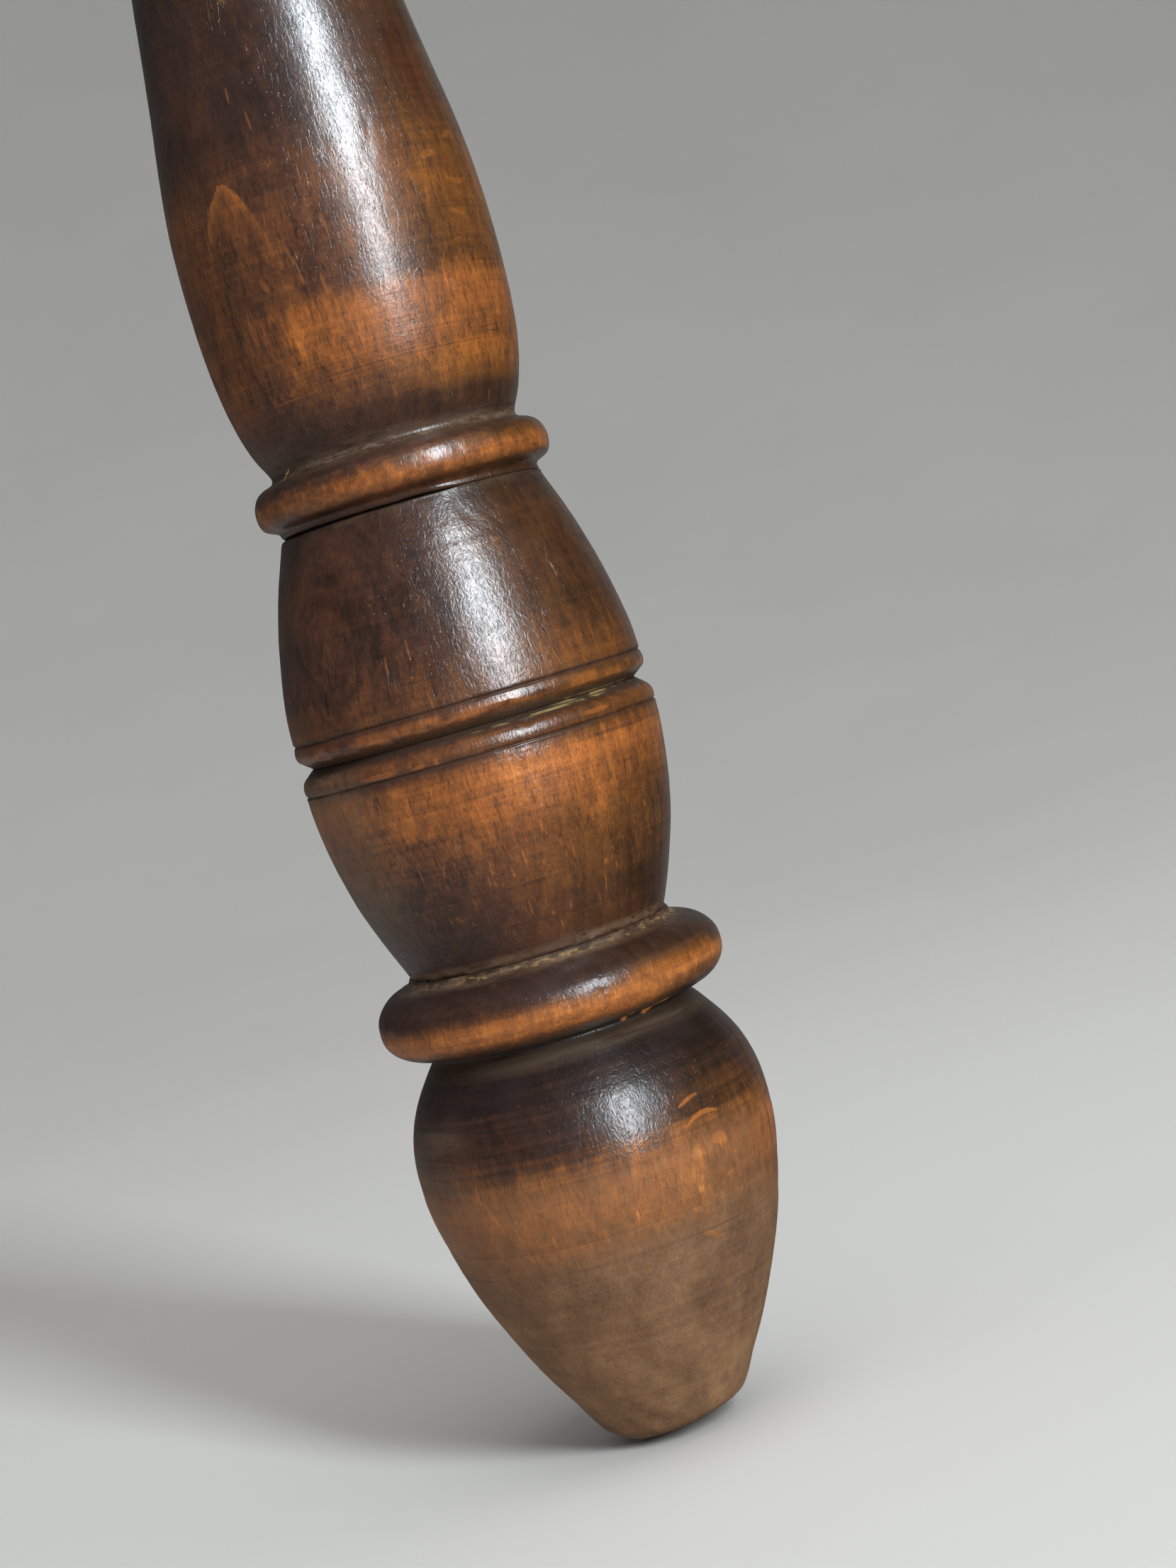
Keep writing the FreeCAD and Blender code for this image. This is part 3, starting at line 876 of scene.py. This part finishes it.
def foot_dirt(wood):
    band, noise, z = wood.band, wood.noise, wood.z
    chips = noise(1.3, 1.0, at=(2, 2, 2)).ease(0.52, 0.62)
    streak = noise(16, 0.8, at=(7, 7, 7))
    soil = noise(3.4, 3.0, detail=4, rough=0.65, at=(9, 2, 2))
    return [
        # pale streaks on the belly's left
        (wood.sector(-78, 18, 26) * band(46, 4, 5) * streak.ease(0.35, 0.62, 0.12, 0.50),
         rgb(112, 93, 77)),
        # the groove under the bead, its dark bottom and its orange chips
        (band(59.2, 1.0, 1.8) * streak.ease(0.40, 0.60, 0.25, 0.75), rgb(78, 64, 50)),
        (band(59.9, 0.12, 0.35) * 0.6, rgb(40, 32, 27)),
        (wood.strokes(FOOT_ORANGE_CHIPS), rgb(196, 116, 62)),
        # two thin broken lines round the belly
        (band(33.9, 0.05, 0.25) * wood.cloud(10, 9).ease(0.40, 0.60, 0.0, 0.30), rgb(84, 60, 44)),
        (band(30.3, 0.03, 0.2) * wood.cloud(14, 9).ease(0.42, 0.6) * 0.4, rgb(76, 54, 40)),
        # dust, dark dirt and pale chips at the joint
        (z.ease(69.6, 70.4) * noise(5, 1.2, detail=4, rough=0.65).ease(0.36, 0.60, 0.15, 0.65),
         rgb(122, 98, 77)),
        (band(71.1, 0.1, 0.35) * noise(2.4, 2.2).ease(0.40, 0.58) * 0.8, rgb(46, 33, 26)),
        (band(70.6, 0.15, 0.3) * chips * 0.6, rgb(150, 122, 80)),
        # soil near the floor
        (z.ease(15, 3) * soil.ease(0.46, 0.66) * 0.5, rgb(88, 70, 50)),
        (z.ease(4.2, 1.6, 0.0, 0.45), rgb(80, 62, 46)),
    ]


foot.data.materials.append(stained_wood(
    "foot_stain",
    rub=[(0, 0.42), (6, 0.46), (20, 0.50), (30, 0.55), (33, 0.62), (36, 0.74), (40, 0.78),
         (42.5, 0.66), (44.5, 0.46), (47, 0.26), (50, 0.15), (53, 0.09), (57, 0.06), (60.2, 0.20),
         (61.2, 0.34), (61.8, 0.54), (62.4, 0.74), (64.0, 0.76), (65.0, 0.66), (65.9, 0.40),
         (66.8, 0.20), (68.4, 0.16), (69.6, 0.15), (71.2, 0.18)],
    gloss=[(0, 0.3), (44, 0.36), (47, 0.50), (60, 0.50), (61, 0.42), (71.2, 0.42)],
    marks=foot_marks, dirt_and_shade=foot_dirt, worn=foot_worn, seed=1.0, steady=[(66, 7)]))


# --- lower barrel: orange under the groove, fading down to dark brown
LOW_PATCHES = [
    (72, 14, 22, 92, 4, 5, -0.12), (-22, 16, 14, 97.6, 1.4, 1.6, -0.10),
    (-30, 12, 14, 87, 12, 5, -0.05), (20, 15, 12, 85, 10, 5, 0.085), (44, 10, 12, 84, 4, 4, 0.05),
    (-2, 14, 12, 77, 4, 4, 0.05), (38, 22, 16, 93, 4, 4, -0.04),
    (36, 20, 12, 101.0, 0.8, 0.6, -0.07)]
LOW_FLAKES = [
    (-32.0, 99.9, 3.0, 0.42, 0), (-18.0, 99.8, 0.9, 0.3, 5), (-12.4, 99.9, 0.35, 0.5, 0),
    (41.5, 100.4, 2.4, 0.35, 0), (-27.1, 97.2, 1.0, 0.8, 0), (-25.4, 94.5, 2.0, 0.32, 88),
    (-70.0, 97.0, 1.2, 0.5, 80), (120.0, 96.5, 1.6, 0.6, 85), (176.0, 94.5, 1.9, 0.4, 92)]
LOW_TICKS = [
    (22.0, 84.0, 1.6, 0.15, 100), (3.0, 78.0, 1.2, 0.12, 96), (-8.0, 83.0, 1.1, 0.12, 84),
    (13.0, 74.8, 0.5, 0.22, 90), (34.0, 81.0, 0.4, 0.36, 90), (-30.0, 86.0, 1.4, 0.12, 92)]


def low_marks(wood, bare):
    z = wood.z
    bare -= wood.sector(-88, 30, 30) * z.ease(84, 92) * 0.02
    bare = wood.patches(bare, LOW_PATCHES)
    # light streaks along the grain, dark ones round the leg
    streak = wood.cloud(0.7, 4.6, at=(12, 3, 5)).ease(0.62, 0.72)
    bare += streak * z.ease(90, 86) * z.ease(73, 77) * 0.20
    dim = wood.noise(30, 1.2, at=(2, 9, 4)).ease(0.54, 0.68)
    bare -= dim * wood.band(90, 8, 3) * 0.09
    bare = wood.chip_off(bare, LOW_FLAKES, strength=0.75, least=0.66, lift=0.12)
    return wood.chip_off(bare, LOW_TICKS, strength=0.6, least=0.66, ragged=0.9)


def low_dirt(wood):
    band, noise, sector, z = wood.band, wood.noise, wood.sector, wood.z
    broken = noise(4.2, 0.7).ease(0.42, 0.56)
    dust = noise(4, 1.2, detail=4, rough=0.65).ease(0.38, 0.60)
    haze = noise(1.6, 3.0, detail=4, rough=0.65, at=(5, 2, 8)).ease(0.34, 0.62, 0.18, 0.50)
    return [
        # pale haze on the left
        (sector(-76, 20, 26) * band(91, 8, 6) * haze, rgb(124, 102, 84)),
        # the thin groove under the lip
        (band(99.15, 0.05, 0.42) * wood.cloud(9).ease(0.34, 0.56, 0.35, 0.8), rgb(66, 45, 34)),
        # dark joint at the top, with two broken pale lines in it
        (z.ease(101.5, 102.1, 0.0, 0.75), rgb(58, 45, 35)),
        (band(102.2, 0.08, 0.14) * broken * sector(24, 20, 10) * 0.85, RESIDUE),
        (band(102.62, 0.06, 0.14) * broken * sector(52, 16, 10) * 0.8, RESIDUE),
        # dust, dark dirt and red-brown specks at the lower joint
        (z.ease(73.0, 71.9) * wood.mix(dust, 0.35, 0.85), rgb(118, 93, 72)),
        (band(71.35, 0.1, 0.4) * noise(3.2, 2.2, at=(3, 3, 3)).ease(0.40, 0.56) * 0.75,
         rgb(52, 34, 27)),
        (band(71.9, 0.3, 0.5) * noise(1.2, 0.9, at=(1, 5, 2)).ease(0.56, 0.64)
         * sector(48, 26, 12) * 0.85, rgb(58, 22, 16)),
    ]


low_barrel.data.materials.append(stained_wood(
    "lower_barrel_stain",
    rub=[(71.2, 0.24), (74, 0.24), (78, 0.26), (82, 0.33), (86, 0.43), (89, 0.54), (92.5, 0.66),
         (96.0, 0.76), (97.6, 0.68), (98.9, 0.44), (99.5, 0.44), (100.4, 0.49), (101.4, 0.46),
         (102.8, 0.16)],
    gloss=[(71.2, 0.55), (90, 0.6), (102.8, 0.66)],
    marks=low_marks, dirt_and_shade=low_dirt, seed=3.0, steady=[(101, 2.5)], crackle=0.9, warm=0.9))


# --- upper barrel: dark, with an orange line along the groove's upper lip
# the row at -9 degrees is painted shade that tones down the spread of the window's highlight on the
# front
HIGH_PATCHES = [
    (-44, 12, 16, 110, 2, 5, -0.06), (-9, 11, 12, 120, 9, 6, -0.06), (64, 14, 14, 115, 7, 5, -0.04),
    (-68, 14, 14, 107.4, 2.2, 2.6, 0.09), (44, 14, 14, 108.5, 1.5, 3, 0.08)]
HIGH_FLAKES = [
    (-22.7, 104.7, 0.75, 0.5, 20), (-26.5, 104.6, 0.6, 0.35, 10), (-38.0, 104.7, 1.2, 0.3, 0),
    (-11.7, 114.7, 1.5, 0.14, 92), (-19.9, 113.3, 1.4, 0.16, 88), (-8.8, 107.6, 1.6, 0.15, 94),
    (33.0, 108.8, 1.2, 0.14, 104), (28.6, 125.5, 0.30, 0.26, 0), (-12.6, 111.2, 0.26, 0.2, 0),
    (-80.0, 110.0, 1.5, 0.3, 84), (110.0, 112.0, 2.0, 0.2, 95), (165.0, 119.0, 1.4, 0.3, 70)]


def high_marks(wood, bare):
    bare += (wood.band(104.9, 0.45, 0.6) * wood.sector(34, 76, 30)
             * wood.cloud(5, 2.5).ease(0.38, 0.56) * 0.22)
    # the grain runs in arcs round an oval on the front left
    oval = wood.oval(-40, 117, across=6.5, along=8.5, wobble=(wood.cloud(4) - 0.5) * 0.8)
    arcs = (oval * 2.6).math("PINGPONG", 0.5) - 0.25
    bare += arcs * oval.ease(2.6, 1.0) * wood.angle.ease(-64, -44) * 0.20
    bare = wood.patches(bare, HIGH_PATCHES)
    return wood.chip_off(bare, HIGH_FLAKES, strength=0.65, least=0.66, ragged=0.6)


def high_dirt_and_seam_shade(wood):
    band, noise, z = wood.band, wood.noise, wood.z
    broken = noise(4.2, 0.9, at=(6, 1, 1)).ease(0.46, 0.58)
    seam = wood.sector(-72, 84, 20)
    dust = noise(5, 1.0, detail=4, rough=0.65, at=(1, 1, 7)).ease(0.36, 0.60)
    return [
        # the thin groove above the lip
        (band(106.4, 0.10, 0.45) * wood.cloud(9, at=(3, 8, 3)).ease(0.34, 0.56, 0.45, 0.85),
         rgb(66, 45, 36)),
        # the joint below, with a broken pale line
        (z.ease(104.0, 103.4, 0.0, 0.70), rgb(72, 55, 41)),
        (band(103.0, 0.05, 0.12) * broken * wood.sector(50, 16, 10) * 0.6, RESIDUE),
        # dust under the bead, and painted shade: near-black where the seam under the bead gapes
        (z.ease(132.0, 133.2) * dust * 0.40, rgb(84, 68, 52)),
        (z.ease(133.25, 133.5) * wood.mix(seam, 0.10, 0.88)
         * noise(3, at=(3, 3, 8)).ease(0.34, 0.50, 0.55, 1.0), rgb(16, 11, 10)),
    ]


high_barrel.data.materials.append(stained_wood(
    "upper_barrel_stain",
    rub=[(102.8, 0.26), (103.7, 0.46), (104.6, 0.44), (105.3, 0.36), (106.1, 0.31), (107.2, 0.44),
         (110, 0.41), (114, 0.35), (119, 0.29), (125, 0.29), (130, 0.28), (133.6, 0.22)],
    gloss=[(102.8, 0.75), (110, 0.72), (120, 0.80), (133.6, 0.72)],
    marks=high_marks, dirt_and_shade=high_dirt_and_seam_shade, seed=5.0, steady=[(104.5, 3.0)]))


# --- shaft: orange crest on the bead, band low on the vase, dark above
SHAFT_SIDE_PATCHES = [(-92, 34, 26, 163, 14, 8, 0.10), (60, 34, 24, 158, 5, 5, -0.08)]
SHAFT_PATCHES = [
    (-12, 10, 12, 176, 20, 8, -0.05), (-24, 5, 7, 162, 7, 6, 0.09),
    (-38, 8, 10, 164, 10, 8, -0.06), (-40, 14, 16, 137.4, 2.6, 1.2, -0.09)]
SHAFT_FLAKES = [
    (-12.3, 164.5, 0.9, 0.26, 100), (-5.3, 162.9, 1.6, 0.24, 94), (-18.1, 164.0, 0.7, 0.36, -14),
    (-26.4, 165.0, 1.1, 0.40, 112), (-14.0, 167.6, 1.2, 0.20, 100), (-21.0, 157.0, 2.6, 0.22, 94),
    (0.5, 170.5, 1.5, 0.28, 98), (40.4, 163.0, 1.7, 0.16, 62), (48.9, 164.8, 1.0, 0.16, 10),
    (48.9, 164.8, 0.8, 0.14, 100), (37.9, 148.8, 0.9, 0.55, 70), (41.4, 150.2, 1.0, 0.35, 100),
    (52.7, 144.4, 0.75, 0.20, 96), (8.4, 147.6, 1.0, 0.12, 100), (-29.7, 151.0, 0.7, 0.4, 30),
    (-31.0, 150.2, 4.0, 0.12, 1), (47.0, 176.5, 1.8, 0.55, 8, -0.1),
    (58.0, 172.5, 2.0, 0.42, -6, 0.08), (40.0, 170.0, 1.1, 0.3, 70), (53.0, 168.4, 1.4, 0.26, -20),
    (36.0, 174.0, 0.8, 0.3, 100), (62.0, 179.0, 1.4, 0.4, 20), (44.0, 160.3, 1.0, 0.4, 96),
    (-16.0, 186.0, 1.6, 0.16, 96), (-22.0, 190.0, 1.1, 0.18, 90), (110.0, 166.0, 1.4, 0.4, 80),
    (142.0, 174.0, 1.9, 0.3, 10, -0.08), (-128.0, 170.0, 1.6, 0.3, 96),
    (-150.0, 150.0, 1.2, 0.5, 80), (70.0, 214.0, 2.2, 0.22, 92), (-40.0, 224.0, 2.6, 0.2, 88),
    (20.0, 268.0, 2.0, 0.22, 94), (-100.0, 318.0, 2.2, 0.24, 88)]
# a low ring of scuffing across the vase's foot, and a short cut on the right
SHAFT_LINES = [(14.0, 151.6, 14.0, 0.10, 0), (53.9, 153.0, 1.6, 0.12, 6),
               (58.0, 152.4, 1.2, 0.1, -4)]
SHAVING = [(-55.5, 141.9, 0.75, 0.16, 20, 0.5), (-57.0, 141.4, 0.6, 0.13, 80)]


def shaft_flame(wood, bare):
    """Where the growth rings run out on the front left: a leaning pointed arch."""
    side = (wood.angle + 33.0).wrapped() * DEGREE * wood.radius
    drop = 179.4 - wood.z
    ragged = wood.ripple(1.2, 2.4, rough=0.65) * 2.2
    deep = (drop + ragged).at_least(0.0).math("SQRT")
    right_edge = deep * 1.70 + drop * 0.02 - side
    left_edge = deep * 2.0 + side
    edge = left_edge.at_most(right_edge)
    inside = edge.ease(0.0, 0.5) * wood.z.ease(156, 164)
    rim = inside * edge.ease(2.4, 0.6)
    top = wood.z.ease(170, 178)
    return bare + inside * wood.mix(top, 0.0, 0.16) + rim * wood.mix(top, 0.07, 0.15)


def shaft_marks(wood, bare):
    band, z = wood.band, wood.z
    # the orange band stops raggedly towards the left
    ragged = wood.ripple(1.3, 5.0, at=(4, 6, 2)) * 60.0
    left = (wood.angle + ragged + (z - 155.5) * 2.0).ease(-36, -6, 1.0, 0.0)
    bare -= left * (wood.flat - 0.43).at_least(0.0) * band(155.5, 8, 2)
    bare = wood.patches(bare, SHAFT_SIDE_PATCHES)
    bead = wood.ripple(2.6, 1.3, rough=0.62, at=(2, 7, 3))
    bare += bead * band(137.4, 2.4, 1.0) * 0.50
    shade = wood.oval(29, 169, across=4.6, along=8.5, wobble=wood.ripple(4, 5) * 0.8)
    bare -= shade.ease(0.5, 1.15, 1.0, 0.0) * 0.04
    bare = wood.patches(bare, SHAFT_PATCHES)
    right = wood.sector(62, 36, 24)
    bare += right * band(149.2, 1.6, 2.0) * 0.17
    bare += right * band(172, 8, 6) * 0.08
    bare += right * z.ease(178, 190) * z.ease(240, 210) * 0.06
    bare = shaft_flame(wood, bare)
    bare = wood.chip_off(bare, SHAFT_FLAKES, strength=0.7, least=0.60, lift=0.10, ragged=0.8)
    bare -= wood.strokes(SHAFT_LINES, ragged=0.6) * 0.13
    # the upper part wears the same way
    return bare + band(288.4, 1.2, 1.2) * 0.50 + band(322, 8, 16) * 0.24


def shaft_dirt_and_seam_shade(wood):
    band, noise = wood.band, wood.noise
    dust = noise(5, 1.0, detail=4, rough=0.65, at=(4, 1, 1)).ease(0.36, 0.60)
    pale = noise(2.0, 0.7, rough=0.65, at=(8, 1, 2)).ease(0.50, 0.62)
    seam = wood.sector(-72, 84, 20)
    return [
        # painted shade at the seam under the bead, darker where the seam gapes
        (wood.z.ease(134.6, 133.9) * wood.mix(seam, 0.20, 0.55), rgb(62, 46, 36)),
        # the groove over the bead: dust, a dark line, pale specks and a curled shaving
        (band(142.0, 0.6, 1.5) * dust * 0.55, rgb(92, 73, 57)),
        (band(142.9, 0.08, 0.3) * noise(3.4, 3).ease(0.42, 0.56) * 0.6, rgb(46, 34, 28)),
        (band(141.7, 0.3, 0.5) * pale * 0.35, rgb(122, 104, 86)),
        (wood.strokes(SHAVING, ragged=0.2), rgb(186, 164, 104)),
        # dust on both sides of the upper bead
        (band(285.4, 0.5, 1.2) * dust * 0.75, rgb(88, 74, 58)),
        (band(292.2, 0.6, 1.2) * dust * 0.75, rgb(88, 74, 58)),
    ]


shaft.data.materials.append(stained_wood(
    "shaft_stain",
    rub=[(133.6, 0.26), (135.0, 0.36), (135.7, 0.54), (136.6, 0.66), (137.9, 0.62), (138.9, 0.44),
         (140.0, 0.24), (142, 0.22), (144.5, 0.25), (147.5, 0.31), (150, 0.46), (152.5, 0.66),
         (155, 0.70), (159.5, 0.72), (161.2, 0.60), (162.6, 0.42), (166, 0.41), (171, 0.43),
         (177, 0.42), (181, 0.32), (186, 0.25), (195, 0.22), (205, 0.20), (230, 0.22),
         (262, 0.30), (280, 0.24), (296, 0.18), (310, 0.28), (325, 0.36), (340, 0.26),
         (350, 0.18)],
    gloss=[(133.6, 0.60), (141, 0.60), (143, 0.36), (150, 0.34), (155, 0.40), (160, 0.50),
           (165, 0.54), (170, 0.56), (175, 0.66), (180, 0.84), (185, 0.95), (205, 0.95),
           (350, 0.95)],
    marks=shaft_marks, dirt_and_shade=shaft_dirt_and_seam_shade, seed=7.0, steady=[(138, 4.5), (288.5, 5.0)],
    crackle=0.62, warm=0.8))


# --- plain wood of the dowels and the wedge, with end grain on level faces
def bare_wood(name, light, dark, seed, relief=1.0):
    wood = Wood(name)
    at = (seed, seed * 2, seed * 3)
    normal_z = split(wood.tree, wood.output("ShaderNodeNewGeometry", "Normal"))[2]
    end = abs(normal_z).ease(0.75, 0.92)
    distance = wood.heart_distance(31.0, -22.0) + (wood.cloud(6, 60, at=at) - 0.5) * 2.0
    ring = (distance / 1.9).math("FRACT")
    fibre = wood.noise(0.2, 6.0, at=at)
    fleck = wood.noise(0.4, 2.6, detail=1.5, rough=0.5, at=at).ease(0.56, 0.7)
    pores = wood.cells(0.33, at=at).ease(0.20, 0.08)
    tone = ring * 0.35 + fibre * 0.40 + wood.noise(5, 9, rough=0.5, at=at) * 0.35 + fleck * -0.16
    middle = tuple((a + b) / 2 for a, b in zip(dark, light))
    side = tone.ramp([(0.20, dark), (0.52, middle), (0.80, light)])
    face = wood.blend(pores * 0.5, wood.blend(0.42, side, dark), tuple(c * 0.35 for c in dark))
    colour = wood.blend(end, side, face)
    grime = wood.noise(3.0, 4.0, detail=4, at=(seed, 4, 4)).ease(0.52, 0.72, 0.0, 0.45)
    colour = wood.blend(grime, colour, tuple(c * 0.6 for c in dark))
    height = (fibre * (0.03 * relief) + ring * 0.008 + pores * end * -0.04
              + wood.noise(0.4, 0.5) * 0.02)
    wood.finish(colour, 0.55 + fibre * 0.2, height, specular=0.35)
    return wood.material


def dress(node, material):
    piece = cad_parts[node]
    if len(piece.material_slots) == 0:
        piece.data.materials.append(material)
    for slot in piece.material_slots:
        slot.material = material


dress("spine_dowel", bare_wood("spine_wood", light=rgb(206, 172, 128), dark=rgb(150, 112, 74),
                               seed=2.0))
dress("top_tenon", bare_wood("tenon_wood", light=rgb(200, 162, 116), dark=rgb(140, 100, 64),
                             seed=4.0))
dress("tenon_wedge", bare_wood("wedge_wood", light=rgb(122, 82, 54), dark=rgb(70, 44, 30),
                               seed=6.0, relief=1.4))

# ----------------------------------------------------------------- the floor
FLAT, BEND, TOP = 0.55, 1.8, 2.9   # flat radius, radius of the curve, height of the rim
FLOOR_AROUND, BEND_STEPS = 128, 24


def floor_paint():
    paint = bpy.data.materials.new("floor_paint")
    paint.use_nodes = True
    tree = paint.node_tree
    bsdf = tree.nodes["Principled BSDF"]
    put(0.9, bsdf.inputs["Roughness"])
    put(0.2, bsdf.inputs["Specular IOR Level"])
    place = Signal(tree, tree.nodes.new("ShaderNodeTexCoord").outputs["Object"])
    cloud = add_node(tree, "ShaderNodeTexNoise", place)
    put(6.0, cloud.inputs["Scale"])
    put(5.0, cloud.inputs["Detail"])
    colour = Signal(tree, cloud.outputs[0]).ramp(
        [(0.3, (0.605, 0.595, 0.57)), (0.7, (0.63, 0.62, 0.592))])
    put(colour, bsdf.inputs["Base Color"])
    return paint


def bowl(height):
    """Seamless pale floor that curves up into a backdrop on every side."""
    line = [(0.05, 0.0), (0.2, 0.0), (0.4, 0.0), (FLAT, 0.0)]
    for i in range(1, BEND_STEPS + 1):
        angle = math.pi / 2 * i / BEND_STEPS
        line.append((FLAT + BEND * math.sin(angle), BEND * (1 - math.cos(angle))))
    line.append((FLAT + BEND, TOP))
    count = FLOOR_AROUND
    verts = [(0, 0, height)]
    for radius, z in line:
        verts += [(radius * math.cos(2 * math.pi * j / count),
                   radius * math.sin(2 * math.pi * j / count), z + height) for j in range(count)]
    faces = [(0, 1 + j, 1 + (j + 1) % count) for j in range(count)]
    for i in range(len(line) - 1):
        low, high = 1 + i * count, 1 + (i + 1) * count
        for j in range(count):
            k = (j + 1) % count
            faces.append((low + j, high + j, high + k, low + k))
    mesh = bpy.data.meshes.new("studio_floor")
    mesh.from_pydata(verts, [], faces)
    made = add_smooth_object("studio_floor", mesh)
    mesh.materials.append(floor_paint())
    # the varnish mirrors a dim room, not the floor
    made.visible_glossy = False
    return made


floor = bowl(min(v.co.z for v in foot.data.vertices))

# ---------------------------------------------------------------- the lights
TARGET = Vector((0, 0, 0.12))


def lamp(name, azimuth, elevation, distance, size, power, colour, lit=None, glint=False, twist=0):
    """Area light aimed at the leg, azimuth degrees from the front towards the right.

    It lights only the objects in lit, if given. A glint shows only in the varnish, and any
    other lamp never does."""
    across, up = math.radians(azimuth), math.radians(elevation)
    way = Vector((math.sin(across) * math.cos(up), -math.cos(across) * math.cos(up),
                  math.sin(up)))
    data = bpy.data.lights.new(name, "AREA")
    data.shape = "RECTANGLE"
    data.size, data.size_y = size
    data.energy = power
    data.color = colour
    made = bpy.data.objects.new(name, data)
    bpy.context.scene.collection.objects.link(made)
    made.location = TARGET + way * distance
    made.rotation_mode = "QUATERNION"
    made.rotation_quaternion = ((-way).to_track_quat("-Z", "Y")
                                @ Quaternion((0, 0, 1), math.radians(twist)))
    made.visible_camera = False
    if glint:
        made.visible_diffuse = False
    else:
        made.visible_glossy = False
    if lit:
        receivers = bpy.data.collections.new(name + "_on")
        for piece in lit:
            receivers.objects.link(piece)
        made.light_linking.receiver_collection = receivers
    return made


leg = [piece for piece in bpy.context.scene.objects if piece.type == "MESH" and piece != floor]
WINDOW = dict(azimuth=31, elevation=25, distance=1.3, size=(0.19, 0.62), colour=(0.88, 0.95, 1.0))
lamp("window", power=21, lit=leg, **WINDOW)
# the same window on the floor, its beam narrowed so it leaves no white pool under itself
ground = lamp("window_on_floor", power=5.0, lit=[floor], **WINDOW)
ground.data.spread = math.radians(90)
# a little light from behind, on the wood only
lamp("rear_fill", azimuth=212, elevation=22, distance=1.5, size=(0.6, 0.9), power=3.0,
     colour=(0.92, 0.96, 1.0), lit=leg)
# the window as the varnish mirrors it, slightly twisted: name, azimuth, elevation, size, power
for name, azimuth, elevation, size, power, lit in (
    ("window_glint", 30, 17, (0.28, 1.06), 37, [low_barrel, high_barrel]),
    ("window_glint_high", 33.2, 17, (0.235, 1.06), 41, [shaft]),
    ("window_glint_low", 27.2, 13, (0.255, 0.88), 34, [foot]),
):
    lamp(name, azimuth, elevation, distance=1.3, size=size, power=power,
         colour=(0.82, 0.92, 1.0), lit=lit, glint=True, twist=-6)
lamp("soft_top", azimuth=40, elevation=72, distance=1.5, size=(1.2, 1.2), power=9,
     colour=(1.0, 0.98, 0.95))


def add_world():
    """Soft daylight all round; mirrored rays see a dim room, a little brighter on the left."""
    world = bpy.data.worlds.new("studio")
    bpy.context.scene.world = world
    world.use_nodes = True
    tree = world.node_tree
    daylight = tree.nodes["Background"]
    put((0.9, 0.93, 1.0), daylight.inputs["Color"])
    put(0.54, daylight.inputs["Strength"])
    way = Signal(tree, tree.nodes.new("ShaderNodeTexCoord").outputs["Generated"])
    x, y, z = split(tree, way)
    # brighter to the left and below, with a paler wall at the back right
    left_and_below = x.span(-0.9, 0.5, 1.0, 0.05) * z.span(-0.35, 0.02, 0.34, 0.07)
    wall = y.span(0.64, 0.95, 0.0, 0.20) * x.span(-0.3, 0.3, 0.08, 1.0)
    room = add_node(tree, "ShaderNodeBackground", (0.97, 0.94, 0.89), left_and_below + wall)
    mirrored = tree.nodes.new("ShaderNodeLightPath").outputs["Is Glossy Ray"]
    choice = add_node(tree, "ShaderNodeMixShader", Signal(tree, mirrored),
                      Signal(tree, daylight.outputs[0]), Signal(tree, room.outputs[0]))
    tree.links.new(choice.outputs[0], tree.nodes["World Output"].inputs["Surface"])


add_world()

view = bpy.context.scene.view_settings
view.view_transform = "Standard"
view.look = "None"
view.exposure = 0.0
view.gamma = 1.0
